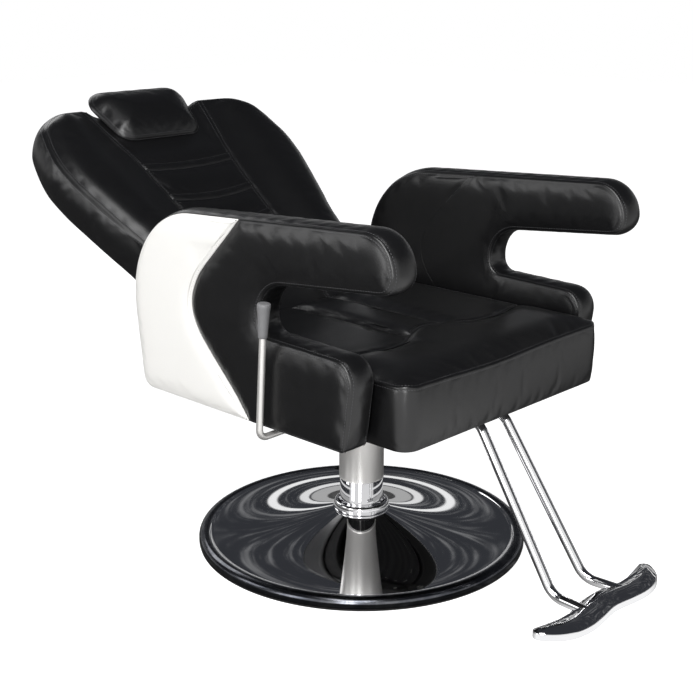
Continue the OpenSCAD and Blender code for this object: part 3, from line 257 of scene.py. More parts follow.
class Cover:
    """Collects the panels of one sewn cover, then joins them into a closed mesh."""

    def __init__(self):
        self.points, self.faces, self.holds, self.tags, self.rows = [], [], [], [], []
        self.count = 0

    def add(self, points, hold):
        start = self.count
        self.points.append(np.asarray(points, float))
        self.holds.append(np.full(len(points), float(hold)))
        self.count += len(points)
        return np.arange(start, self.count)

    def quads(self, a, b, c, d, tag):
        f = np.stack([np.ravel(x) for x in (a, b, c, d)], 1)
        self.faces.append(f)
        self.tags.append(np.full(len(f), tag))

    def at(self, ids):
        return np.vstack(self.points)[ids]

    def panel(self, sides, lift, tag=0, rows=SEAM_ROWS, sew=True, seed=1, tuck=0.0004, hold_all=False):
        """A panel bounded by four open paths that meet end to end. lift(points, distance, gather) gives
        the points their places on the chair. Returns the ids of the points on the seam."""
        loop = np.vstack([s[:-1] for s in sides])
        n = len(loop)
        step = inward(loop)
        gather = wander(n, seed, max(6, n // 5)) * tuck
        rings = []
        for d in rows:
            p = loop + step * d
            h = gather * math.exp(-((d - GATHER_AT) / 0.005) ** 2) * (d > 0.001)
            rings.append(self.add(lift(p, np.full(n, d), h), hold_all or d < HELD))
        for a, b in zip(rings, rings[1:]):
            self.quads(a, np.roll(a, -1), np.roll(b, -1), b, tag)
        edge = loop + step * rows[-1]
        cuts = np.cumsum([0] + [len(s) - 1 for s in sides])
        bottom, right, top, left = (edge[np.arange(cuts[k], cuts[k + 1] + 1) % n] for k in range(4))
        top, left = top[::-1], left[::-1]
        na, nb = len(bottom) - 1, len(right) - 1
        share = [np.concatenate([[0], np.cumsum(np.linalg.norm(np.diff(s, axis=0), axis=1))]) for s in
                 (bottom, top, left, right)]
        ub, ut, vl, vr = (s / max(s[-1], 1e-9) for s in share)
        j, i = np.meshgrid(np.arange(nb + 1), np.arange(na + 1), indexing="ij")
        u = ((1 - j / nb) * ub[i] + j / nb * ut[i])[..., None]
        v = ((1 - i / na) * vl[j] + i / na * vr[j])[..., None]
        corners = ((1 - u) * (1 - v) * bottom[0] + u * (1 - v) * bottom[-1]
                   + (1 - u) * v * top[0] + u * v * top[-1])
        grid = (1 - v) * bottom[i] + v * top[i] + (1 - u) * left[j] + u * right[j] - corners
        ids = np.zeros((nb + 1, na + 1), int)
        ring = rings[-1]
        ids[0, :] = ring[np.arange(cuts[0], cuts[1] + 1) % n]
        ids[:, -1] = ring[np.arange(cuts[1], cuts[2] + 1) % n]
        ids[-1, :] = ring[np.arange(cuts[2], cuts[3] + 1) % n][::-1]
        ids[:, 0] = ring[np.arange(cuts[3], cuts[4] + 1) % n][::-1]
        inner = grid[1:-1, 1:-1].reshape(-1, 2)
        if len(inner):
            gap = np.linalg.norm(inner[:, None, :] - loop[None, :, :], axis=2)
            near, d = gap.argmin(1), gap.min(1)
            h = gather[near] * hump(d - GATHER_AT, 0.007)
            ids[1:-1, 1:-1] = self.add(lift(inner, d, h), hold_all).reshape(nb - 1, na - 1)
        self.quads(ids[:-1, :-1], ids[:-1, 1:], ids[1:, 1:], ids[1:, :-1], tag)
        if sew:
            spans = [k for k in range(4) if sew is True or k in sew]
            if len(spans) == 4:
                self.rows.append(np.append(rings[STITCH_ROW], rings[STITCH_ROW][0]))
            else:
                for k in spans:
                    self.rows.append(rings[STITCH_ROW][np.arange(cuts[k], cuts[k + 1] + 1) % n])
        return rings[0]

    def band(self, top, bottom, out, swell, cell=0.0065, tag=0, sew=(True, True), seed=1, lean=1.0):
        """The strip that joins two seams, whose ids are given. swell is the rise of its middle, per point."""
        a, b = self.at(top), self.at(bottom)
        wide = float(np.median(np.linalg.norm(b - a, axis=1)))
        near = [d for d in SEAM_ROWS if d < wide * 0.3]
        mid = wide - 2 * near[-1]
        k = max(2, int(round(mid / cell)))
        levels = near + [near[-1] + mid * m / k for m in range(1, k)] + [wide - d for d in reversed(near)]
        swell = np.broadcast_to(swell, len(a))
        gather = wander(len(a), seed, max(6, len(a) // 5)) * 0.0004
        rings = [top]
        for d in levels[1:-1]:
            t = d / wide
            h = swell * math.sin(math.pi * t ** lean) ** 0.7
            h = h + (groove(d, 0.0010) if sew[0] else 0) + (groove(wide - d, 0.0010) if sew[1] else 0)
            h = h + gather * sum(math.exp(-((e - GATHER_AT) / 0.006) ** 2) for e in (d, wide - d))
            p = a + (b - a) * t + out * h[:, None]
            rings.append(self.add(p, min(d, wide - d) < HELD))
        rings.append(bottom)
        for p, q in zip(rings, rings[1:]):
            self.quads(p, q, np.roll(q, -1), np.roll(p, -1), tag)
        if sew[0]:
            self.rows.append(np.append(rings[STITCH_ROW], rings[STITCH_ROW][0]))
        if sew[1]:
            self.rows.append(np.append(rings[-1 - STITCH_ROW], rings[-1 - STITCH_ROW][0]))
        return rings

    def mesh(self, name):
        """The joined mesh object, the stitch rows as point ids, and the tag of each face."""
        p = np.vstack(self.points)
        key = np.round(p * 4e4).astype(np.int64)
        _, first, back = np.unique(key, axis=0, return_index=True, return_inverse=True)
        back = back.ravel()
        hold = np.zeros(len(first))
        np.maximum.at(hold, back, np.concatenate(self.holds))
        faces, tags = [], []
        for f, t in zip(back[np.vstack(self.faces)], np.concatenate(self.tags)):
            ring = [int(v) for k, v in enumerate(f) if v != f[k - 1]]
            if len(set(ring)) == len(ring) and len(ring) > 2:
                faces.append(ring)
                tags.append(int(t))
        ob = mesh_object(name, p[first], faces)
        tag = ob.data.attributes.new("panel", "INT", "FACE")
        tag.data.foreach_set("value", tags)
        outward(ob)
        group = ob.vertex_groups.new(name="hold")
        for value in (0.0, 1.0):
            group.add([int(v) for v in np.flatnonzero(hold == value)], value, "REPLACE")
        return ob, [back[r] for r in self.rows]


def mesh_object(name, points, faces, smooth=True):
    data = bpy.data.meshes.new(name)
    data.from_pydata([tuple(map(float, p)) for p in points], [], faces)
    data.validate()
    data.polygons.foreach_set("use_smooth", [smooth] * len(data.polygons))
    ob = bpy.data.objects.new(name, data)
    bpy.context.scene.collection.objects.link(ob)
    return ob


def outward(ob, merge=False, close=False):
    """Turns every face outwards, after joining doubled points or closing open edges where asked."""
    bm = bmesh.new()
    bm.from_mesh(ob.data)
    if merge:
        bmesh.ops.remove_doubles(bm, verts=bm.verts, dist=1e-6)
    if close:
        bmesh.ops.holes_fill(bm, edges=[e for e in bm.edges if e.is_boundary], sides=0)
    bmesh.ops.recalc_face_normals(bm, faces=bm.faces)
    bm.to_mesh(ob.data)
    bm.free()


def coords(ob):
    co = np.zeros(len(ob.data.vertices) * 3)
    ob.data.vertices.foreach_get("co", co)
    return co.reshape(-1, 3)


def set_coords(ob, co):
    ob.data.vertices.foreach_set("co", np.ascontiguousarray(co, float).ravel())
    ob.data.update()


def settle(ob, cap, slack=0.006):
    """Lets a cover swell and crease over its foam, held at its seams, by at most cap."""
    sizes = bpy.context.scene.chair_sizes
    scene = bpy.context.scene
    start = coords(ob)
    cloth = ob.modifiers.new("Foam", "CLOTH")
    s = cloth.settings
    s.quality = 4
    s.mass = 0.25
    s.tension_stiffness = s.compression_stiffness = 12
    s.shear_stiffness = 6
    s.bending_stiffness = 0.6
    s.air_damping = 3
    s.use_pressure = True
    s.uniform_pressure_force = sizes.filling
    s.shrink_min = -slack
    s.vertex_group_mass = "hold"
    s.effector_weights.gravity = 0
    cloth.collision_settings.use_collision = False
    cloth.collision_settings.use_self_collision = False
    cloth.point_cache.frame_start = 1
    cloth.point_cache.frame_end = sizes.frames
    for f in range(1, sizes.frames + 1):
        scene.frame_set(f)
    seen = ob.evaluated_get(bpy.context.evaluated_depsgraph_get())
    data = seen.to_mesh()
    co = np.zeros(len(data.vertices) * 3)
    data.vertices.foreach_get("co", co)
    seen.to_mesh_clear()
    ob.modifiers.remove(cloth)
    scene.frame_set(1)
    move = co.reshape(-1, 3) - start
    size = np.linalg.norm(move, axis=1, keepdims=True)
    set_coords(ob, start + move * (cap * np.tanh(size / cap) / np.maximum(size, 1e-9)))


def finer(ob, levels=1):
    sub = ob.modifiers.new("Subdivision", "SUBSURF")
    sub.levels = sub.render_levels = levels
    sub.boundary_smooth = "PRESERVE_CORNERS"


def dress(ob, body, slot, *replaced, fill=None):
    """Puts a finished piece on its body."""
    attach(ob, body)
    if replaced:
        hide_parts(*replaced)


def paint(ob, *materials):
    ob.data.materials.clear()
    for m in materials:
        ob.data.materials.append(m)


def rows_to_paths(ob, rows, lift=0.0):
    """3-D paths of the stitch rows on a finished cover."""
    co = coords(ob)
    normal = np.zeros(len(co) * 3)
    ob.data.vertices.foreach_get("normal", normal)
    co = co + normal.reshape(-1, 3) * lift
    out = []
    for r in rows:
        keep = np.concatenate([[True], r[1:] != r[:-1]])
        out.append(co[r[keep]])
    return out


# ---------------------------------------------------------------- node tools

def new_group(name, ins, outs):
    """An empty shader node group with named sockets: ins are (name, kind, default)."""
    tree = bpy.data.node_groups.new(name, "ShaderNodeTree")
    for n, kind, default in ins:
        sock = tree.interface.new_socket(n, in_out="INPUT", socket_type="NodeSocket" + kind)
        sock.default_value = default
    for n, kind in outs:
        tree.interface.new_socket(n, in_out="OUTPUT", socket_type="NodeSocket" + kind)
    return tree, tree.nodes.new("NodeGroupInput"), tree.nodes.new("NodeGroupOutput")


def node(tree, kind, **settings):
    made = tree.nodes.new(kind)
    for k, v in settings.items():
        setattr(made, k, v)
    return made


def feed(tree, sock, value):
    """Links a socket to another one, or sets its plain value."""
    if hasattr(value, "links"):
        tree.links.new(value, sock)
    else:
        sock.default_value = value


def maths(tree, op, a, b=0.5, clamp=False):
    made = node(tree, "ShaderNodeMath", operation=op, use_clamp=clamp)
    feed(tree, made.inputs[0], a)
    feed(tree, made.inputs[1], b)
    return made.outputs[0]


def blend_colour(tree, factor, a, b):
    made = node(tree, "ShaderNodeMix", data_type="RGBA", blend_type="MIX")
    for k, v in ((0, factor), (6, a), (7, b)):
        feed(tree, made.inputs[k], v)
    return made.outputs[2]


def stretched(tree, vector, by):
    """A vector times another, axis by axis."""
    made = node(tree, "ShaderNodeVectorMath", operation="MULTIPLY")
    feed(tree, made.inputs[0], vector)
    feed(tree, made.inputs[1], by)
    return made.outputs[0]


def spread(tree, value, low, high):
    """Takes the middle of a noise to the range from low to high."""
    made = node(tree, "ShaderNodeMapRange")
    for name, v in (("Value", value), ("From Min", NOISE_LOW), ("From Max", NOISE_HIGH),
                    ("To Min", low), ("To Max", high)):
        feed(tree, made.inputs[name], v)
    return made.outputs[0]


def tones(colour, by):
    """A darker and a lighter tone of a colour."""
    return tuple(c * (1 - by) for c in colour) + (1,), tuple(min(1, c * (1 + by)) for c in colour) + (1,)


def noise(tree, vector, scale, detail=3.0, rough=0.5):
    made = node(tree, "ShaderNodeTexNoise")
    tree.links.new(vector, made.inputs["Vector"])
    feed(tree, made.inputs["Scale"], scale)
    made.inputs["Detail"].default_value = detail
    made.inputs["Roughness"].default_value = rough
    return made.outputs["Fac"]


def build_groups():
    """Effects that several finishes share."""
    tree, gi, go = new_group("Leatherette Grain", [
        ("Vector", "Vector", (0, 0, 0)), ("Cell Scale", "Float", 900.0), ("Crease Scale", "Float", 26.0),
        ("Crease Depth", "Float", 0.03)], [("Height", "Float"), ("Tone", "Float"), ("Wear", "Float")])
    cell = node(tree, "ShaderNodeTexVoronoi", feature="SMOOTH_F1")
    cell.inputs["Smoothness"].default_value = 0.6
    tree.links.new(gi.outputs["Vector"], cell.inputs["Vector"])
    tree.links.new(gi.outputs["Cell Scale"], cell.inputs["Scale"])
    fine = noise(tree, gi.outputs["Vector"], 2600.0, 2.0)
    crease = noise(tree, gi.outputs["Vector"], gi.outputs["Crease Scale"], 6.0, 0.62)
    fold = maths(tree, "ABSOLUTE", maths(tree, "SUBTRACT", crease, 0.5))
    fold = maths(tree, "MULTIPLY", maths(tree, "SUBTRACT", 0.06, fold, True), 8.0, True)
    pebble = maths(tree, "ADD", maths(tree, "MULTIPLY", cell.outputs["Distance"], 0.55),
                   maths(tree, "MULTIPLY", fine, 0.25))
    height = maths(tree, "SUBTRACT", pebble, maths(tree, "MULTIPLY", fold, gi.outputs["Crease Depth"]))
    tree.links.new(height, go.inputs["Height"])
    tree.links.new(noise(tree, gi.outputs["Vector"], 7.0, 4.0, 0.6), go.inputs["Tone"])
    tree.links.new(noise(tree, gi.outputs["Vector"], 38.0, 5.0, 0.7), go.inputs["Wear"])

    tree, gi, go = new_group("Metal Marks", [
        ("Vector", "Vector", (0, 0, 0)), ("Stretch", "Vector", (1, 1, 1)), ("Scale", "Float", 60.0),
        ("Low", "Float", 0.02), ("High", "Float", 0.06)], [("Roughness", "Float"), ("Height", "Float"),
                                                            ("Grime", "Float")])
    lines = noise(tree, stretched(tree, gi.outputs["Vector"], gi.outputs["Stretch"]), gi.outputs["Scale"], 4.0, 0.65)
    smear = noise(tree, gi.outputs["Vector"], 9.0, 4.0, 0.6)
    mix = maths(tree, "MULTIPLY", maths(tree, "ADD", lines, smear), 0.5)
    tree.links.new(spread(tree, mix, gi.outputs["Low"], gi.outputs["High"]), go.inputs["Roughness"])
    tree.links.new(lines, go.inputs["Height"])
    tree.links.new(smear, go.inputs["Grime"])


def start_material(name, **sockets):
    mat = bpy.data.materials.new(name)
    mat.use_nodes = True
    tree = mat.node_tree
    shader = tree.nodes["Principled BSDF"]
    for k, v in sockets.items():
        shader.inputs[k.replace("_", " ")].default_value = v
    coord = node(tree, "ShaderNodeTexCoord")
    return mat, tree, shader, coord.outputs["Object"]


def place_group(tree, name, vector, **values):
    made = node(tree, "ShaderNodeGroup", node_tree=bpy.data.node_groups[name])
    tree.links.new(vector, made.inputs["Vector"])
    for k, v in values.items():
        made.inputs[k.replace("_", " ")].default_value = v
    return made


def bump(tree, shader, height, strength, distance):
    made = node(tree, "ShaderNodeBump")
    made.inputs["Strength"].default_value = strength
    made.inputs["Distance"].default_value = distance
    tree.links.new(height, made.inputs["Height"])
    tree.links.new(made.outputs[0], shader.inputs["Normal"])


def leatherette(name, colour, low, high, tone=0.35, strength=0.35, specular=0.5, scale=900.0):
    mat, tree, shader, where = start_material(name, Specular_IOR_Level=specular)
    grain = place_group(tree, "Leatherette Grain", where, Cell_Scale=scale)
    feed(tree, shader.inputs["Base Color"], blend_colour(tree, grain.outputs["Tone"], *tones(colour, tone)))
    feed(tree, shader.inputs["Roughness"], spread(tree, grain.outputs["Wear"], low, high))
    bump(tree, shader, grain.outputs["Height"], strength, 0.0006)
    return mat


def metal(name, colour, low, high, stretch=(1, 1, 1), scale=60.0, strength=0.02, grime=0.06, metallic=1.0):
    mat, tree, shader, where = start_material(name, Metallic=metallic)
    marks = place_group(tree, "Metal Marks", where, Stretch=stretch, Scale=scale, Low=low, High=high)
    dull = tuple(c * (1 - grime * 2) for c in colour) + (1,)
    feed(tree, shader.inputs["Base Color"], blend_colour(tree, marks.outputs["Grime"], dull, tuple(colour) + (1,)))
    tree.links.new(marks.outputs["Roughness"], shader.inputs["Roughness"])
    bump(tree, shader, marks.outputs["Height"], strength, 0.0004)
    return mat


def plain(name, colour, low, high, scale=120.0, strength=0.15, distance=0.0004, tone=0.2, specular=0.5):
    """A moulded, cast or painted finish with mottled colour and roughness."""
    mat, tree, shader, where = start_material(name, Specular_IOR_Level=specular)
    marks = place_group(tree, "Metal Marks", where, Scale=scale, Low=low, High=high)
    feed(tree, shader.inputs["Base Color"], blend_colour(tree, marks.outputs["Grime"], *tones(colour, tone)))
    tree.links.new(marks.outputs["Roughness"], shader.inputs["Roughness"])
    bump(tree, shader, marks.outputs["Height"], strength, distance)
    return mat


def build_materials():
    c = bpy.context.scene.chair_colours
    m = bpy.context.scene.chair_metal
    build_groups()
    made = {
        "black_leather": leatherette("Black Leatherette", c.black, 0.29, 0.335, strength=0.20, specular=0.64),
        "white_leather": leatherette("White Leatherette", c.white, 0.40, 0.52, tone=0.015, strength=0.22),
        "mirror_chrome": metal("Mirror Chrome", m.chrome, m.polish * 0.6, m.polish * 1.4,
                               strength=0.004, grime=0.03),
        "satin_steel": metal("Satin Stainless", m.satin, 0.30, 0.42, stretch=(1, 1, 0.04), scale=900,
                             strength=0.06, metallic=0.70),
        "zinc_steel": metal("Zinc Plate", (0.55, 0.55, 0.53), 0.28, 0.45, scale=300, strength=0.05),
        "brass_parts": metal("Machined Brass", (0.72, 0.55, 0.26), 0.2, 0.34, stretch=(0.1, 1, 1), scale=700),
        "black_frame": plain("Black Frame Paint", (0.012, 0.012, 0.012), 0.28, 0.45, scale=420, strength=0.12),
        "cast_base": plain("Cast Iron Paint", (0.02, 0.02, 0.02), 0.55, 0.8, scale=260, strength=0.5,
                           distance=0.001),
        "black_rubber": plain("Black Rubber", (0.012, 0.012, 0.012), 0.55, 0.75, scale=200, strength=0.2),
        "grey_plastic": plain("Grey Grip Plastic", c.grip, 0.36, 0.5, scale=900, strength=0.12, tone=0.12),
    }
    mat, tree, shader, where = start_material("Stained Plywood")
    wave = node(tree, "ShaderNodeTexWave", wave_type="BANDS", bands_direction="X")
    wave.inputs["Scale"].default_value = 14
    wave.inputs["Distortion"].default_value = 7
    wave.inputs["Detail"].default_value = 4
    tree.links.new(where, wave.inputs["Vector"])
    stain = blend_colour(tree, wave.outputs["Fac"], (0.010, 0.010, 0.012, 1), (0.024, 0.023, 0.024, 1))
    tree.links.new(stain, shader.inputs["Base Color"])
    shader.inputs["Roughness"].default_value = 0.65
    bump(tree, shader, wave.outputs["Fac"], 0.2, 0.0005)
    made["plywood"] = mat
    mat, tree, shader, where = start_material("Sewing Thread", Specular_IOR_Level=0.5)
    twist = noise(tree, where, 1500.0, 2.0)
    tree.links.new(blend_colour(tree, twist, tuple(x * 0.6 for x in c.thread) + (1,), tuple(c.thread) + (1,)),
                   shader.inputs["Base Color"])
    shader.inputs["Roughness"].default_value = 0.42
    made["thread"] = mat
    return made


def geometry_tree(name, *inputs):
    """An empty geometry node tree with a mesh in and out, a material, and named inputs."""
    tree = bpy.data.node_groups.new(name, "GeometryNodeTree")
    for label, kind in (("Geometry", "Geometry"),) + inputs + (("Material", "Material"),):
        tree.interface.new_socket(label, in_out="INPUT", socket_type="NodeSocket" + kind)
    tree.interface.new_socket("Geometry", in_out="OUTPUT", socket_type="NodeSocketGeometry")
    return tree, tree.nodes.new("NodeGroupInput"), tree.nodes.new("NodeGroupOutput")


def put_copies(tree, gi, go, points, shape, way, size):
    """Sets a copy of a shape, turned and sized, on each point, as real faces of the material."""
    link = tree.links.new
    align = node(tree, "FunctionNodeAlignRotationToVector", axis="Z")
    link(way, align.inputs["Vector"])
    put = node(tree, "GeometryNodeInstanceOnPoints")
    for name, src in (("Points", points), ("Instance", shape), ("Rotation", align.outputs[0]), ("Scale", size)):
        link(src, put.inputs[name])
    real = node(tree, "GeometryNodeRealizeInstances")
    link(put.outputs[0], real.inputs[0])
    smooth = node(tree, "GeometryNodeSetShadeSmooth")
    link(real.outputs[0], smooth.inputs[0])
    mat = node(tree, "GeometryNodeSetMaterial")
    link(smooth.outputs[0], mat.inputs["Geometry"])
    link(gi.outputs["Material"], mat.inputs["Material"])
    link(mat.outputs[0], go.inputs[0])


def row_tree():
    """Geometry nodes: small copies of a stitch along each path."""
    tree, gi, go = geometry_tree("Stitch Rows", ("Pitch", "Float"), ("Length", "Float"), ("Thread", "Float"))
    link = tree.links.new
    curve = node(tree, "GeometryNodeMeshToCurve")
    link(gi.outputs["Geometry"], curve.inputs["Mesh"])
    resample = node(tree, "GeometryNodeResampleCurve", mode="LENGTH")
    link(curve.outputs["Curve"], resample.inputs["Curve"])
    link(gi.outputs["Pitch"], resample.inputs["Length"])
    stitch = node(tree, "GeometryNodeMeshUVSphere")
    stitch.inputs["Segments"].default_value = 6
    stitch.inputs["Rings"].default_value = 4
    stitch.inputs["Radius"].default_value = 0.5
    size = node(tree, "ShaderNodeCombineXYZ")
    link(gi.outputs["Thread"], size.inputs[0])
    link(gi.outputs["Thread"], size.inputs[1])
    link(gi.outputs["Length"], size.inputs[2])
    tangent = node(tree, "GeometryNodeInputTangent")
    put_copies(tree, gi, go, resample.outputs[0], stitch.outputs["Mesh"], tangent.outputs[0], size.outputs[0])
    return tree


def copies_tree():
    """Geometry nodes: a domed screw head with a collar at each point, standing along the given axis."""
    tree, gi, go = geometry_tree("Screw Heads", ("Radius", "Float"), ("Height", "Float"), ("Axis", "Vector"))
    link = tree.links.new
    washer = node(tree, "GeometryNodeMeshCone")
    for k, v in (("Vertices", 20), ("Radius Top", 0.82), ("Radius Bottom", 1.0), ("Depth", 0.45)):
        washer.inputs[k].default_value = v
    dome = node(tree, "GeometryNodeMeshUVSphere")
    for k, v in (("Segments", 20), ("Rings", 10), ("Radius", 0.72)):
        dome.inputs[k].default_value = v
    join = node(tree, "GeometryNodeJoinGeometry")
    link(washer.outputs["Mesh"], join.inputs[0])
    link(dome.outputs["Mesh"], join.inputs[0])
    size = node(tree, "ShaderNodeCombineXYZ")
    for k, src in enumerate(("Radius", "Radius", "Height")):
        link(gi.outputs[src], size.inputs[k])
    put_copies(tree, gi, go, gi.outputs["Geometry"], join.outputs[0], gi.outputs["Axis"], size.outputs[0])
    return tree


def grow(name, points, edges, tree, values):
    """Runs a geometry node tree over points and edges and returns the plain mesh it makes."""
    data = bpy.data.meshes.new(name + "_guide")
    data.from_pydata([tuple(map(float, p)) for p in points], edges, [])
    guide = bpy.data.objects.new(name + "_guide", data)
    bpy.context.scene.collection.objects.link(guide)
    mod = guide.modifiers.new("Copies", "NODES")
    mod.node_group = tree
    for item in tree.interface.items_tree:
        if item.in_out == "INPUT" and item.name in values:
            mod[item.identifier] = values[item.name]
    seen = guide.evaluated_get(bpy.context.evaluated_depsgraph_get())
    made = bpy.data.meshes.new_from_object(seen)
    bpy.data.objects.remove(guide)
    made.name = name
    ob = bpy.data.objects.new(name, made)
    bpy.context.scene.collection.objects.link(ob)
    return ob


def sew(name, paths, body):
    """Rows of thread stitches along 3-D paths, as one piece on a body."""
    sizes = bpy.context.scene.chair_sizes
    points, edges = [], []
    for path in paths:
        base = len(points)
        points.extend(path)
        edges.extend((base + k, base + k + 1) for k in range(len(path) - 1))
    ob = grow(name, points, edges, MADE["row_tree"], {
        "Pitch": sizes.stitch_pitch, "Length": sizes.stitch_length, "Thread": sizes.thread,
        "Material": MADE["materials"]["thread"]})
    dress(ob, body, "black_leather")
    return ob


# ---------------------------------------------------------------- small solids

def spun(name, profile, segments=192, axis=(0, 0)):
    """A closed solid turned about a vertical axis through the given x, y. The profile is a closed loop."""
    n = len(profile)
    ang = np.arange(segments) / segments * 2 * math.pi
    pts = [(axis[0] + r * math.cos(a), axis[1] + r * math.sin(a), z) for a in ang for r, z in profile]
    faces = [(a * n + i, b * n + i, b * n + (i + 1) % n, a * n + (i + 1) % n)
             for a in range(segments) for b in ((a + 1) % segments,) for i in range(n)]
    ob = mesh_object(name, pts, faces)
    outward(ob, merge=True)
    ob.data.polygons.foreach_set("use_smooth", [True] * len(ob.data.polygons))
    return ob


def swept(name, path, radius, sides=40):
    """A closed round tube along a smooth 3-D path."""
    path = np.asarray(path, float)
    tangent = np.gradient(path, axis=0)
    tangent /= np.linalg.norm(tangent, axis=1, keepdims=True)
    side = np.cross(tangent[0], [1.0, 0.0, 0.0])
    if np.linalg.norm(side) < 0.1:
        side = np.cross(tangent[0], [0.0, 1.0, 0.0])
    pts = []
    for p, t in zip(path, tangent):
        side = side - t * (side @ t)
        side /= np.linalg.norm(side)
        other = np.cross(t, side)
        for a in np.arange(sides) / sides * 2 * math.pi:
            pts.append(p + radius * (math.cos(a) * side + math.sin(a) * other))
    n = len(path)
    faces = [(k + i, k + (i + 1) % sides, k + sides + (i + 1) % sides, k + sides + i)
             for k in range(0, (n - 1) * sides, sides) for i in range(sides)]
    faces += [tuple(range(sides))[::-1], tuple((n - 1) * sides + i for i in range(sides))]
    ob = mesh_object(name, pts, faces)
    for f in ob.data.polygons[-2:]:
        f.use_smooth = False
    outward(ob)
    return ob


# ---------------------------------------------------------------- operators

def fade(tree, value, low, high, a=0.0, b=1.0):
    """A smooth step from a to b as value goes from low to high."""
    made = node(tree, "ShaderNodeMapRange", interpolation_type="SMOOTHSTEP")
    for name, v in (("From Min", low), ("From Max", high), ("To Min", a), ("To Max", b)):
        made.inputs[name].default_value = v
    tree.links.new(value, made.inputs["Value"])
    return made.outputs[0]


def streaks(tree, vector, stretch, scale):
    """Fine uneven lines, as on boards seen from afar."""
    return fade(tree, noise(tree, stretched(tree, vector, stretch), scale, 5.0, 0.65), 0.50, 0.68)


CAMERA_AT, CAMERA_WAY = (-1.65295, -1.53745, 1.05118), (0.69326, 0.66129, -0.28651)
# What mirrors see: the dark of the room, its pale bands as (from height, to height, brightness), and the
# way to the bright side
ROOM_DARK = (0.034, 0.036, 0.042)
ROOM_BANDS = ((0.246, 0.272, 0.95), (0.105, 0.142, 0.80), (-1.0, 0.085, 0.42))
BRIGHT_SIDE = (-0.72, -0.69, 0.0)
# Each lamp: name, place, aim, size and power in watts
LAMPS = (("Key", (-1.55, -1.2, 2.1), (0, 0, 0.5), (0.8, 0.6), 19),
         ("Overhead", (-0.85, -0.55, 2.45), (-0.2, -0.1, 0.5), (0.9, 1.0), 15),
         ("Strip", (-2.3, -1.6, 0.95), (0, 0, 0.5), (0.5, 1.6), 22),
         ("Left", (-2.3, 0.05, 0.85), (0, 0, 0.5), (0.6, 1.4), 8),
         ("Side", (-1.95, 1.4, 1.25), (0, 0.3, 0.5), (0.8, 1.0), 6),
         ("Fill", (0.3, 2.6, 1.9), (0, 0.1, 0.5), (1.4, 1.0), 9))


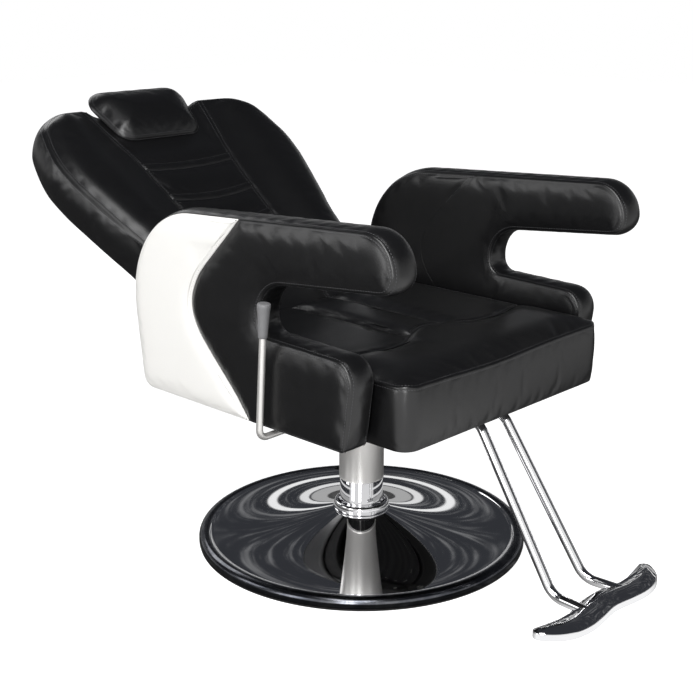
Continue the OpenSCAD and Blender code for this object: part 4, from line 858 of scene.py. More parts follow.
class CHAIR_OT_stage(bpy.types.Operator):
    """Camera, floor, world and soft studio lights"""
    bl_idname = "chair.stage"
    bl_label = "Stage"

    def front_sheet(self, tree, where):
        """What chrome and leather mirror of the floor: a pale sheet in front, dark boards around it."""
        ahead = node(tree, "ShaderNodeVectorMath", operation="DOT_PRODUCT")
        tree.links.new(where, ahead.inputs[0])
        ahead.inputs[1].default_value = (-0.30, -0.95, 0.0)
        grain = streaks(tree, where, (7.0, 0.8, 1.0), 2.0)
        boards = maths(tree, "ADD", 0.03, maths(tree, "MULTIPLY", grain, 0.12))
        sep = node(tree, "ShaderNodeSeparateXYZ")
        tree.links.new(where, sep.inputs[0])
        sheet = maths(tree, "MULTIPLY", fade(tree, ahead.outputs["Value"], 0.36, 0.56),
                      fade(tree, sep.outputs[0], 0.15, 0.9, 1.0, 0.6))
        return maths(tree, "ADD", maths(tree, "MULTIPLY", boards, maths(tree, "SUBTRACT", 1.0, sheet)),
                     maths(tree, "MULTIPLY", sheet, 1.05))

    def surroundings(self, scene):
        """A white room for the eye; for mirrors a dark one with a pale band round the horizon."""
        world = scene.world or bpy.data.worlds.new("Studio")
        scene.world = world
        world.use_nodes = True
        tree = world.node_tree
        tree.nodes.clear()
        out = node(tree, "ShaderNodeOutputWorld")
        path = node(tree, "ShaderNodeLightPath")
        way = node(tree, "ShaderNodeTexCoord").outputs["Generated"]
        sep = node(tree, "ShaderNodeSeparateXYZ")
        tree.links.new(way, sep.inputs[0])
        height = sep.outputs[2]
        lines = maths(tree, "MULTIPLY", streaks(tree, way, (5.0, 5.0, 34.0), 1.6), 0.16)
        lines = maths(tree, "MULTIPLY", lines, fade(tree, height, 0.85, 0.45))
        dark = node(tree, "ShaderNodeCombineXYZ")
        for k, v in enumerate(ROOM_DARK):
            tree.links.new(maths(tree, "ADD", lines, v), dark.inputs[k])
        room = dark.outputs[0]
        soft = 0.008
        for low, high, level in ROOM_BANDS:
            band = maths(tree, "MULTIPLY", fade(tree, height, low - soft, low), fade(tree, height, high + soft, high))
            room = blend_colour(tree, band, room, (level, level, level, 1))
        toward = node(tree, "ShaderNodeVectorMath", operation="DOT_PRODUCT")
        tree.links.new(way, toward.inputs[0])
        toward.inputs[1].default_value = BRIGHT_SIDE
        ahead = fade(tree, toward.outputs["Value"], 0.30, 0.55)
        glow = maths(tree, "MULTIPLY", ahead, fade(tree, height, 0.75, 0.5))
        room = blend_colour(tree, glow, room, (0.9, 0.9, 0.9, 1))
        shades = []
        for colour in (room, (0.36, 0.36, 0.365, 1), (1, 1, 1, 1)):
            shade = node(tree, "ShaderNodeBackground")
            feed(tree, shade.inputs[0], colour)
            shades.append(shade.outputs[0])
        first = node(tree, "ShaderNodeMixShader")
        tree.links.new(path.outputs["Is Glossy Ray"], first.inputs[0])
        tree.links.new(shades[1], first.inputs[1])
        tree.links.new(shades[0], first.inputs[2])
        second = node(tree, "ShaderNodeMixShader")
        tree.links.new(path.outputs["Is Camera Ray"], second.inputs[0])
        tree.links.new(first.outputs[0], second.inputs[1])
        tree.links.new(shades[2], second.inputs[2])
        tree.links.new(second.outputs[0], out.inputs[0])

    def execute(self, context):
        scene = context.scene
        cam = bpy.data.cameras.new("Camera")
        cam.lens, cam.sensor_width = 66.44, 36.0
        cam.clip_start, cam.clip_end = 0.05, 60
        eye = bpy.data.objects.new("Camera", cam)
        eye.location = CAMERA_AT
        eye.rotation_euler = Vector(CAMERA_WAY).to_track_quat("-Z", "Y").to_euler()
        scene.collection.objects.link(eye)
        scene.camera = eye

        s, z = 9.0, -0.0004
        floor = mesh_object("studio_floor", [(-s, -s, z), (s, -s, z), (s, s, z), (-s, s, z)], [(0, 1, 2, 3)],
                            smooth=False)
        mat, tree, shader, where = start_material("Studio Floor", Roughness=0.9)
        shader.inputs["Specular IOR Level"].default_value = 0.0
        path = node(tree, "ShaderNodeLightPath")
        seen, mirrored = path.outputs["Is Camera Ray"], path.outputs["Is Glossy Ray"]
        pale = blend_colour(tree, seen, (0.45, 0.45, 0.45, 1), (0.80, 0.80, 0.80, 1))
        tree.links.new(blend_colour(tree, mirrored, pale, (0.04, 0.04, 0.04, 1)), shader.inputs["Base Color"])
        shader.inputs["Emission Color"].default_value = (1, 1, 1, 1)
        sheet = self.front_sheet(tree, where)
        glow = maths(tree, "ADD", maths(tree, "MULTIPLY", seen, 0.80), maths(tree, "MULTIPLY", mirrored, sheet))
        tree.links.new(glow, shader.inputs["Emission Strength"])
        paint(floor, mat)
        self.surroundings(scene)

        for name, place, aim, size, power in LAMPS:
            light = bpy.data.lights.new(name, "AREA")
            light.shape, light.size, light.size_y, light.energy = "RECTANGLE", size[0], size[1], power
            lamp = bpy.data.objects.new(name, light)
            lamp.location = place
            lamp.rotation_euler = (Vector(aim) - Vector(place)).to_track_quat("-Z", "Y").to_euler()
            scene.collection.objects.link(lamp)
        scene.view_settings.view_transform = "Standard"
        scene.view_settings.look = "None"
        return {"FINISHED"}


class CHAIR_OT_finishes(bpy.types.Operator):
    """Materials, node trees, and the finish of every bare node of the frame"""
    bl_idname = "chair.finishes"
    bl_label = "Finishes"

    def execute(self, context):
        MADE["materials"] = build_materials()
        MADE["row_tree"] = row_tree()
        MADE["copies_tree"] = copies_tree()
        for part in FRAME["record"]["subparts"]:
            ob = NODES[part["node"]]
            mat = MADE["materials"][part["material_slot"]]
            ob.data.materials.clear()
            ob.data.materials.append(mat)
        return {"FINISHED"}


SEAT_HALF, SEAT_FRONT, SEAT_REAR, SEAT_LOW, SEAT_SEAM = 0.265, -0.340, 0.144, 0.327, 0.434
# How much shorter the seat is at its foot than at its sewn edge
SEAT_TAPER = 0.452 / 0.484
BOW = [(-0.265, -0.157), (-0.240, -0.168), (-0.205, -0.180), (-0.164, -0.189), (-0.138, -0.193), (-0.097, -0.188),
       (-0.066, -0.172), (-0.030, -0.154), (0, -0.146)]
CHANNEL_X = 0.050
# Each channel is a narrow seam in a wide hollow: (depth, width)
CHANNEL_VALLEY = ((0.0045, 0.0034), (0.0045, 0.013))
# The top's dome, and how far from the side, the front and the rear it starts to fall
SEAT_CROWN, SEAT_ROUND = 0.0125, (0.070, 0.065, 0.06)
# The fold along the bow, and the step down behind it: (depth, width)
BOW_FOLD, BOW_STEP = (0.0035, 0.010), (0.0045, 0.022)
# Where the front edge is sat down: depth, place across, half width, reach back
SAG_DEPTH, SAG_X, SAG_HALF, SAG_REACH = 0.0055, -0.045, 0.11, 0.06
# How far the sides and the front of the seat's edge bulge
SEAT_BULGE = (0.0016, 0.0035)


class CHAIR_OT_seat(bpy.types.Operator):
    """Seat cushion: boxed, with a sewn inner panel and two channels"""
    bl_idname = "chair.seat"
    bl_label = "Seat Cushion"

    def execute(self, context):
        h, f, r = SEAT_HALF, SEAT_FRONT, SEAT_REAR
        outline = rounded([(-h, f, 0.031), (h, f, 0.031), (h, r, 0.020), (-h, r, 0.020)])
        bow = flow(BOW + [(-x, y) for x, y in BOW[-2::-1]])
        cut = [int(np.argmin(np.abs(bow[:, 0] - x))) for x in (-CHANNEL_X, CHANNEL_X)]
        left = even(bow[: cut[0] + 1], 32)
        mid = even(bow[cut[0]: cut[1] + 1], 16)
        right = even(bow[cut[1]:], 32)
        bow_y = lambda x: np.interp(x, bow[:, 0], bow[:, 1])
        fl, fr = (-h + 0.009, f + 0.009), (h - 0.009, f + 0.009)
        rl, rr = (-h + 0.006, r - 0.006), (h - 0.006, r - 0.006)
        # The outline runs front left to front right, then up the right side, along the rear and down the left
        front = between(outline, fl, fr, 80)
        side_r = between(outline, fr, right[-1], 24)
        up_r = between(outline, right[-1], rr, 38)
        rear = between(outline, rr, rl, 80)
        down_l = between(outline, rl, left[0], 38)
        side_l = between(outline, left[0], fl, 24)
        for part, end in ((side_l, left[0]), (up_r, right[-1])):
            part[0] = end
        side_r[-1], down_l[-1] = right[-1], left[0]
        line_l = np.linspace(mid[0], rear[48], 39)
        line_r = np.linspace(mid[-1], rear[32], 39)

        def top(p, d, extra, rise, wide):
            x, y = p[:, 0], p[:, 1]
            from_edge = (h - np.abs(x), y - f, r - y)
            e = np.minimum.reduce([gap / wide for gap, wide in zip(from_edge, SEAT_ROUND)])
            edge = np.sin(np.clip(e, 0, 1) * math.pi / 2)
            behind = ease((y - bow_y(x)) / BOW_STEP[1])
            near = hump(y - bow_y(x), BOW_FOLD[1])
            sag = SAG_DEPTH * np.exp(-((x - SAG_X) / SAG_HALF) ** 2 - (y - f) / SAG_REACH)
            z = SEAT_SEAM + SEAT_CROWN * edge - sag - BOW_FOLD[0] * near * edge - BOW_STEP[0] * behind * edge
            gap = (np.abs(x) - CHANNEL_X) ** 2
            valley = sum(depth * np.exp(-gap / width ** 2) for depth, width in CHANNEL_VALLEY)
            z -= valley * behind * ease((r - y + 0.010) / 0.012)
            z += puff(d, rise, wide) + groove(d) + extra
            return np.stack([x, y, z], 1)

        cover = Cover()
        for sides, rise, wide, sewn, seed in (
                ([front, side_r, chain(left, mid, right)[::-1], side_l], 0.0040, 0.022, True, 3),
                ([left, line_l, rear[48:], down_l], 0.003, 0.022, (0, 2, 3), 4),
                ([mid, line_r, rear[32:49], line_l[::-1]], 0.003, 0.020, (0, 2), 5),
                ([right, up_r, rear[:33], line_r[::-1]], 0.003, 0.022, (0, 1, 2), 6)):
            cover.panel(sides, lambda p, d, e: top(p, d, e, rise, wide), sew=sewn, seed=seed)
        ring = chain(front, side_r, up_r, rear, down_l, side_l)[:-1]
        d0 = np.zeros(len(ring))
        seam = cover.add(top(ring, d0, d0, 0.0, 1.0), 1)
        base = np.column_stack([ring[:, 0], f + (ring[:, 1] - f) * SEAT_TAPER])
        low = np.column_stack([base + inward(base) * 0.002, np.full(len(ring), SEAT_LOW)])
        out = unit(np.column_stack([-inward(ring), d0]))
        foot = cover.add(low, 1)
        side = np.where(np.abs(ring[:, 0]) > h - 0.004, *SEAT_BULGE)
        cover.band(seam, foot, out, side, sew=(True, False), seed=8)
        inner = base + inward(base) * 0.012
        lip_z = SEAT_LOW + 0.0006
        lip = cover.add(np.column_stack([inner, np.full(len(ring), lip_z)]), 1)
        cover.quads(foot, lip, np.roll(lip, -1), np.roll(foot, -1), 0)
        sides = [inner[:81], inner[80:143], inner[142:223], np.vstack([inner[222:], inner[:1]])]
        cover.panel(sides, lambda p, d, e: np.column_stack([p, lip_z + 0.0135 * ease(d / 0.004)]),
                    rows=(0.0, 0.004), sew=False, hold_all=True)
        ob, rows = cover.mesh("seat_cover")
        settle(ob, SEAT_SETTLE)
        paths = rows_to_paths(ob, rows)
        finer(ob)
        paint(ob, MADE["materials"]["black_leather"])
        dress(ob, "seat", "black_leather", "seat_cushion", fill=0.8)
        sew("seat_stitches", paths, "seat")
        return {"FINISHED"}


ARM_IN, ARM_OUT, ARM_LOW = 0.2765, 0.3295, 0.3295
ARM_OUTLINE = [(0.222, 0.3295, 0.024), (0.2385, 0.468, 0.100), (0.241, 0.650, 0.165), (-0.367, 0.684, 0.058),
               (-0.367, 0.597, 0.030), (-0.073, 0.569, 0.064), (-0.078, 0.480, 0.026), (-0.289, 0.475, 0.036),
               (-0.269, 0.3295, 0.004)]
PANEL_FRONT = [(-0.040, 0.666), (-0.013, 0.637), (0.020, 0.604), (0.047, 0.577), (0.064, 0.557), (0.077, 0.534),
               (0.083, 0.516), (0.083, 0.496), (0.076, 0.476), (0.064, 0.457), (0.044, 0.435), (0.017, 0.408),
               (-0.020, 0.371), (-0.055, 0.3295)]


# Stuffing of the outer and inner faces: height, width and power of its rise from the seams
ARM_PUFF_OUTER, ARM_PUFF_INNER, ARM_GROOVE = (0.0062, 0.0125, 1.3), (0.0046, 0.0125, 1.3), 0.0012
# How far the arm's edge bulges, and the height over which that starts at its foot
ARM_SWELL, ARM_SWELL_OVER = 0.0055, 0.05
# The black cover is let in under the white panel, which stands proud of the seam
PANEL_SUNK, PANEL_PROUD = 0.0035, 0.0004


class CHAIR_OT_arms(bpy.types.Operator):
    """Hooked arms with boxed edges and a white panel on each outer side"""
    bl_idname = "chair.arms"
    bl_label = "Arms"

    def execute(self, context):
        outline = rounded(ARM_OUTLINE)[::-1]
        ends = [outline[nearest(outline, p)] for p in (PANEL_FRONT[0], PANEL_FRONT[-1])]
        curve = even(flow([tuple(ends[0])] + PANEL_FRONT[1:-1] + [tuple(ends[1])]), 50)
        nose_top, nose_low = (-0.352, 0.661), (-0.354, 0.606)
        limb_low, limb_top = (-0.268, 0.3305), (-0.278, 0.464)
        shoulder, heel = (0.192, 0.604), (0.220, 0.339)
        under, hook = (-0.150, 0.576), (-0.120, 0.480)
        # The outline runs over the top to the rear, down, forward along the bottom and up round the hook
        if (nearest(outline, shoulder) - nearest(outline, nose_top)) % len(outline) > len(outline) // 2:
            outline = outline[::-1]
        top = between(outline, nose_top, ends[0], 46)
        over = between(outline, ends[0], shoulder, 30)
        rear = between(outline, shoulder, heel, 50)
        under_rear = between(outline, heel, ends[1], 30)
        bottom = between(outline, ends[1], limb_low, 26)
        front = between(outline, limb_low, limb_top, 16)
        inner = chain(between(outline, limb_top, hook, 26), between(outline, hook, under, 50),
                      between(outline, under, nose_low, 46))
        nose = between(outline, nose_low, nose_top, 16)
        ring = chain(top, over, rear, under_rear, bottom, front, inner, nose)[:-1]
        black = [chain(top, curve, bottom), front, inner, nose]
        white = [over, rear, under_rear, curve[::-1]]

        def outer(p, d, extra):
            x = ARM_OUT + puff(d, *ARM_PUFF_OUTER) + groove(d, ARM_GROOVE) + extra
            return np.column_stack([x, p])

        def inside(p, d, extra):
            e = reach(p, ring)
            x = ARM_IN - puff(e, *ARM_PUFF_INNER) - groove(e, ARM_GROOVE)
            return np.column_stack([x, p])

        cover = Cover()
        cover.panel(black, outer, seed=11)
        cover.panel(white, outer, tag=1, seed=12)
        cover.panel(black, inside, sew=(1, 2, 3), seed=13, tuck=0)
        cover.panel(white, inside, sew=(0, 1), seed=14, tuck=0)
        z0 = np.zeros(len(ring))
        a = cover.add(outer(ring, z0, z0), 1)
        b = cover.add(inside(ring, z0, z0), 1)
        step = inward(ring)
        out = np.column_stack([z0, unit(-step)])
        swell = ARM_SWELL * ease((ring[:, 1] - ARM_LOW) / ARM_SWELL_OVER)
        cover.band(a, b, out, swell, seed=15)
        ob, rows = cover.mesh("arm_cover_left")
        # The inner face is one plain panel, so only its rim is held
        co = coords(ob)
        plain_side = np.flatnonzero((co[:, 0] < ARM_IN + 0.01) & (reach(co[:, 1:], ring) > 0.006))
        ob.vertex_groups["hold"].add([int(v) for v in plain_side], 0.0, "REPLACE")
        settle(ob, ARM_SETTLE)
        paths = rows_to_paths(ob, rows)
        mats = MADE["materials"]

        def split(side):
            name = "left" if side > 0 else "right"
            tag = np.zeros(len(ob.data.polygons), int)
            ob.data.attributes["panel"].data.foreach_get("value", tag)
            co = coords(ob) * np.array([side, 1, 1])
            faces = [list(f.vertices) if side > 0 else list(f.vertices)[::-1] for f in ob.data.polygons]
            pale = sorted({v for f, t in zip(faces, tag) if t == 1 for v in f})
            rim = {v for f, t in zip(faces, tag) if t == 0 for v in f} & set(pale)
            sunk = co.copy()
            deep = np.array([v for v in pale if v not in rim])
            sunk[deep, 0] -= side * PANEL_SUNK
            arm = mesh_object("arm_cover_" + name + "_black", sunk, faces)
            paint(arm, mats["black_leather"])
            finer(arm)
            dress(arm, "seat", "black_leather", "arm_" + name, fill=0.8)
            index = {v: k for k, v in enumerate(pale)}
            shell = mesh_object("side_panel_cover_" + name, co[pale] + np.array([side * PANEL_PROUD, 0, 0]),
                                [[index[v] for v in f] for f, t in zip(faces, tag) if t == 1])
            wall = shell.modifiers.new("Thickness", "SOLIDIFY")
            wall.thickness, wall.offset = 0.0022, -1
            finer(shell)
            paint(shell, mats["white_leather"])
            dress(shell, "seat", "white_leather", "side_panel_" + name, fill=0.9)
            sew("arm_stitches_" + name, [p * np.array([side, 1, 1]) for p in paths], "seat")

        split(1)
        split(-1)
        bpy.data.objects.remove(ob)
        return {"FINISHED"}


BACK_SIDE = [(0.150, -0.010), (0.210, -0.010), (0.224, -0.005), (0.2275, 0.010), (0.229, 0.060), (0.232, 0.120),
             (0.240, 0.187), (0.246, 0.221), (0.262, 0.277), (0.278, 0.339), (0.288, 0.381), (0.2940, 0.429),
             (0.2935, 0.455), (0.289, 0.483), (0.2825, 0.510), (0.274, 0.537), (0.261, 0.5535), (0.242, 0.567),
             (0.214, 0.579), (0.183, 0.5865), (0.150, 0.590), (0.130, 0.587), (0.112, 0.577), (0.092, 0.567),
             (0.060, 0.5645)]
BACK_SEAM = ((-0.012, 0.098), (0.234, 0.101), (0.290, 0.103), (0.358, 0.108), (0.416, 0.114), (0.450, 0.120),
             (0.483, 0.128), (0.540, 0.140), (0.602, 0.151))
BACK_FACE, BACK_REAR, BACK_FOOT_REAR = 0.0435, -0.0410, -0.0305
# The wings' crest: height, how far from the edge it starts to fall, and the power of the fall
CREST, CREST_EDGE, CREST_POWER = 0.0160, 0.036, 2.2
# How much thinner the cushion is at its foot, and the height over which that ends
FOOT_THIN, FOOT_THIN_OVER = 0.030, 0.130
# How far the boxing bulges at the foot, and how much more beside the wings
BOXING_SWELL, BOXING_MORE = 0.0012, 0.0083
# Sewn lines across the middle panel: height at the middle and at the ends
CHANNELS = ((0.230, 0.245), (0.248, 0.262), (0.310, 0.322), (0.328, 0.339), (0.400, 0.408), (0.419, 0.427))


def back_point(p):
    """Points in the back's own axes as points of the chair."""
    p = np.asarray(p, float)
    return PIVOT + np.stack([p[:, 0]] + [p[:, 1] * BACK_UP[k] + p[:, 2] * BACK_OUT[k] for k in (1, 2)], 1)


def back_way(p):
    """Directions in the plane of the back as directions of the chair."""
    return np.stack([p[:, 0], p[:, 1] * BACK_UP[1], p[:, 1] * BACK_UP[2]], 1)


def seam_x(s):
    """Half width of the middle panel at height s."""
    return np.interp(s, [k[0] for k in BACK_SEAM], [k[1] for k in BACK_SEAM])


def back_recess(x, s):
    """How far the middle panel lies behind the wings' sewn edge: it dips behind the headrest."""
    return 0.008 + 0.0115 * ease((s - 0.43) / 0.07) * ease((seam_x(s) - x) / 0.024)


class CHAIR_OT_back(bpy.types.Operator):
    """Back cushion with bulging wings and a sewn middle panel, and its rear cover"""
    bl_idname = "chair.back"
    bl_label = "Back"

    def execute(self, context):
        half = BACK_SIDE
        other = [(-x, y) for x, y in half[::-1]]
        outline = dense(flow(half + [(0.0, 0.564)] + other + [(0.0, -0.010)], True))
        foot, shoulder = np.array([0.224, -0.005]), np.array([0.261, 0.556])
        mirror = np.array([-1.0, 1.0])
        counts = [36, 4, 8, 4, 9, 4, 26]
        levels = [-0.010] + [c[1] for c in CHANNELS]
        top_at = outline[(outline[:, 1] > 0.56) & (outline[:, 0] > 0.1) & (outline[:, 0] < 0.2)]
        crown = top_at[np.argmin(np.abs(top_at[:, 0] - 0.149))]
        pieces = []
        for k, n in enumerate(counts):
            s0, s1 = levels[k], (levels[k + 1] if k + 1 < len(levels) else crown[1])
            s = np.linspace(s0, s1, n + 1)
            pieces.append(np.column_stack([seam_x(s), s]))
        pieces[-1][-1] = crown
        seam = chain(*pieces)
        go = between(outline, foot, shoulder, 91)
        forward = np.linalg.norm(np.diff(go, axis=0), axis=1).sum() < 1.0
        walk = outline if forward else outline[::-1]
        side = between(walk, foot, shoulder, 91)
        shelf = between(walk, shoulder, crown, 18)
        middle_top = between(walk, crown, crown * mirror, 30)
        base = between(walk, pieces[0][0], foot, 18)
        middle_base = between(walk, pieces[0][0] * mirror, pieces[0][0], 30)
        base[0] = pieces[0][0]
        middle_base[0], middle_base[-1] = pieces[0][0] * mirror, pieces[0][0]

        side_s, side_w = [q[1] for q in half[3:16]], [q[0] for q in half[3:16]]

        def face(p, d, extra, rise, wide, depth=0.0020):
            x, s = np.abs(p[:, 0]), p[:, 1]
            mid = seam_x(s)
            wing = np.clip((x - mid) / np.maximum(np.interp(s, side_s, side_w) - mid, 0.02), 0, 1)
            off = reach(p, outline)
            climb = ease(wing / 0.62)
            fall = 1 - (1 - np.clip(off / CREST_EDGE, 0, 1)) ** CREST_POWER
            crest = CREST * climb * fall * ease((s - 0.04) / 0.11)
            low = np.sin(np.clip((s + 0.010) / 0.07, 0, 1) * math.pi / 2)
            thin = FOOT_THIN * (1 - ease((s - 0.010) / FOOT_THIN_OVER))
            z = BACK_FACE - thin - back_recess(x, s) * (1 - climb) * low + crest
            z = z + puff(d, rise, wide) * (0.25 + 0.75 * low) + groove(d, depth) * low + extra
            return back_point(np.column_stack([p, z]))

        cover = Cover()
        wing = [seam, shelf[::-1], side[::-1], base[::-1]]
        for sign, seed in ((1, 21), (-1, 22)):
            cover.panel([part * np.array([sign, 1]) for part in wing],
                        lambda p, d, e: face(p, d, e, 0.0010, 0.008), seed=seed, tuck=0.0006)
        bound = middle_base
        for k, line in enumerate(pieces):
            if k < len(CHANNELS):
                x = np.linspace(-1, 1, 31)
                s = CHANNELS[k][0] + (CHANNELS[k][1] - CHANNELS[k][0]) * x ** 2
                nxt = np.column_stack([x * line[-1][0], s])
                nxt[0], nxt[-1] = line[-1] * mirror, line[-1]
            else:
                nxt = middle_top[::-1]
            rib = counts[k] <= 4
            bulge = 0.0042 if rib else 0.0050 if k < len(CHANNELS) else 0.0015
            cover.panel([bound, line, nxt[::-1], (line * mirror)[::-1]],
                        lambda p, d, e: face(p, d, e, bulge, 0.006 if rib else 0.024),
                        rows=RIB_ROWS if rib else SEAM_ROWS, sew=(1, 3), seed=30 + k, tuck=0.0002)
            bound = nxt
        ring = chain(side, shelf, middle_top, (shelf * mirror)[::-1], (side * mirror)[::-1],
                     (base * mirror)[::-1], middle_base, base)[:-1]
        z0 = np.zeros(len(ring))
        a = cover.add(face(ring, z0, z0, 0.0, 1.0), 1)
        rear_z = np.where(ring[:, 1] > 0.118, BACK_REAR, BACK_FOOT_REAR)
        step = inward(ring)
        b = cover.add(back_point(np.column_stack([ring - step * 0.001, rear_z + 0.007])), 1)
        out = back_way(unit(-step))
        swell = BOXING_SWELL + BOXING_MORE * ease((ring[:, 1] - 0.20) / 0.12)
        cover.band(a, b, out, swell, sew=(True, False), seed=28, lean=0.72)
        lip_at = ring + step * 0.012
        edge = b
        for inset, back in ((0.0006, 0.0035), (0.003, 0.001), (0.0065, 0.0), (0.012, 0.0)):
            lip = cover.add(back_point(np.column_stack([ring + step * inset, rear_z + back])), 1)
            cover.quads(edge, lip, np.roll(lip, -1), np.roll(edge, -1), 0)
            edge = lip
        cuts = [91, 66, 91, 66]
        marks = np.cumsum([0] + cuts)
        sides = [lip_at[np.arange(marks[k], marks[k + 1] + 1) % len(ring)] for k in range(4)]
        cover.panel(sides, lambda p, d, e: back_point(np.column_stack([p, np.where(
            d < 0.001, np.where(p[:, 1] > 0.110, BACK_REAR, BACK_FOOT_REAR), -0.0245)])),
                    rows=(0.0, 0.003), sew=False, hold_all=True)
        ob, rows = cover.mesh("back_cover_front")
        settle(ob, BACK_SETTLE)
        paths = rows_to_paths(ob, rows)
        for k in range(len(CHANNELS)):
            x = np.linspace(-0.97, 0.97, 60)
            s = CHANNELS[k][0] + (CHANNELS[k][1] - CHANNELS[k][0]) * x ** 2
            line = face(np.column_stack([x * pieces[k][-1][0], s]), np.zeros(60), 0.0009, 0.0, 1.0, 0.0024)
            paths.append(line)
        finer(ob)
        mats = MADE["materials"]
        paint(ob, mats["black_leather"])
        dress(ob, "back", "black_leather", "back_cushion", fill=0.8)
        sew("back_stitches", paths, "back")

        # Rear cover: a flat padded panel with a slot for the headrest's guide
        inset = outline + inward(outline) * 0.0075
        inset = inset[inset[:, 1] > 0.122]
        low, slot_half, slot_low = 0.124, 0.034, 0.334
        half_path = inset[inset[:, 0] > 0]
        half_path = half_path[np.argsort(np.unwrap(np.arctan2(half_path[:, 1] - 0.36, half_path[:, 0])))]
        top_y = float(half_path[(np.abs(half_path[:, 0] - slot_half) + (half_path[:, 1] < 0.5)).argmin(), 1])
        k = nearest(half_path, (0.254, 0.549))
        rise = half_path[: k + 1]
        rise = np.vstack([[rise[0, 0], low], rise[1:]])
        shelf_r = half_path[k:][half_path[k:, 0] > slot_half]
        shelf_r = np.vstack([shelf_r, [slot_half, top_y]])
        down = even(rise[::-1], 60)
        across = even(np.array([rise[0], rise[0] * mirror]), 50)
        outer_path = chain(down, across, (down * mirror)[::-1])
        end_l = even(shelf_r * mirror, 26)
        slot = chain(even(np.array([end_l[-1], [-slot_half, slot_low]]), 60),
                     even(np.array([[-slot_half, slot_low], [slot_half, slot_low]]), 50),
                     even(np.array([[slot_half, slot_low], shelf_r[-1]]), 60))
        end_r = even(shelf_r[::-1], 26)

        def rear(p, d, e):
            return back_point(np.column_stack([p, -0.0370 - puff(d, 0.0055, 0.016) - groove(d, 0.001) - e]))

        panel = Cover()
        ids = panel.panel([outer_path, end_l, slot, end_r], rear, seed=41)
        flat_ids = panel.panel([outer_path, end_l, slot, end_r],
                               lambda p, d, e: back_point(np.column_stack([p, np.full(len(p), -0.0308)])),
                               rows=(0.0, 0.004), sew=False)
        panel.quads(ids, flat_ids, np.roll(flat_ids, -1), np.roll(ids, -1), 0)
        ob, rows = panel.mesh("back_cover_rear")
        paths = rows_to_paths(ob, rows)
        finer(ob)
        paint(ob, mats["black_leather"])
        dress(ob, "back", "black_leather", "back_cover", fill=0.7)
        sew("back_rear_stitches", paths, "back")
        return {"FINISHED"}


# Stuffing of the pillow: height, width and power of its rise from the seam
PILLOW_PUFF = (0.0295, 0.029, 1.15)


class CHAIR_OT_headrest(bpy.types.Operator):
    """Headrest pillow"""
    bl_idname = "chair.headrest"
    bl_label = "Headrest"

    def execute(self, context):
        rear, seam_z = 0.0255, 0.0345
        outline = rounded([(-0.104, 0.500, 0.038), (0.096, 0.500, 0.036), (0.1220, 0.640, 0.038),
                           (-0.1300, 0.640, 0.042)], 0.002)
        a, b = (-0.0945, 0.5110), (0.087, 0.5105)
        c, d_ = (0.1105, 0.629), (-0.117, 0.628)
        sides = [between(outline, a, b, 36), between(outline, b, c, 28),
                 between(outline, c, d_, 40), between(outline, d_, a, 28)]
        sides[2] = even(sides[2], 36)

        def front(p, d, e):
            z = seam_z + puff(d, *PILLOW_PUFF) + groove(d, 0.0012) + e
            return back_point(np.column_stack([p, z]))

        def behind(p, d, e):
            return back_point(np.column_stack([p, rear + 0.0004 - 0.0004 * ease(d / 0.01)]))

        cover = Cover()
        top = cover.panel(sides, front, seed=51, tuck=0.0006)
        loop = np.vstack([s[:-1] for s in sides])
        low = cover.panel(sides, behind, sew=False, seed=52, tuck=0, hold_all=True)
        step = inward(loop)
        out = back_way(unit(-step))
        p0, p1 = cover.at(top), cover.at(low)
        rings = [top]
        for t, h in ((0.22, 0.0006), (0.45, 0.0014), (0.7, 0.0016), (0.88, 0.0010)):
            rings.append(cover.add(p0 + (p1 - p0) * t + out * h, t < 0.5))
        rings.append(low)
        for p, q in zip(rings, rings[1:]):
            cover.quads(p, q, np.roll(q, -1), np.roll(p, -1), 0)
        cover.rows.append(np.append(rings[2], rings[2][0]))
        ob, rows = cover.mesh("headrest_pillow")
        settle(ob, PILLOW_SETTLE)
        paths = rows_to_paths(ob, rows)
        finer(ob)
        paint(ob, MADE["materials"]["black_leather"])
        dress(ob, "headrest", "black_leather", "headrest_pad", fill=0.9)
        sew("headrest_stitches", paths, "headrest")
        return {"FINISHED"}


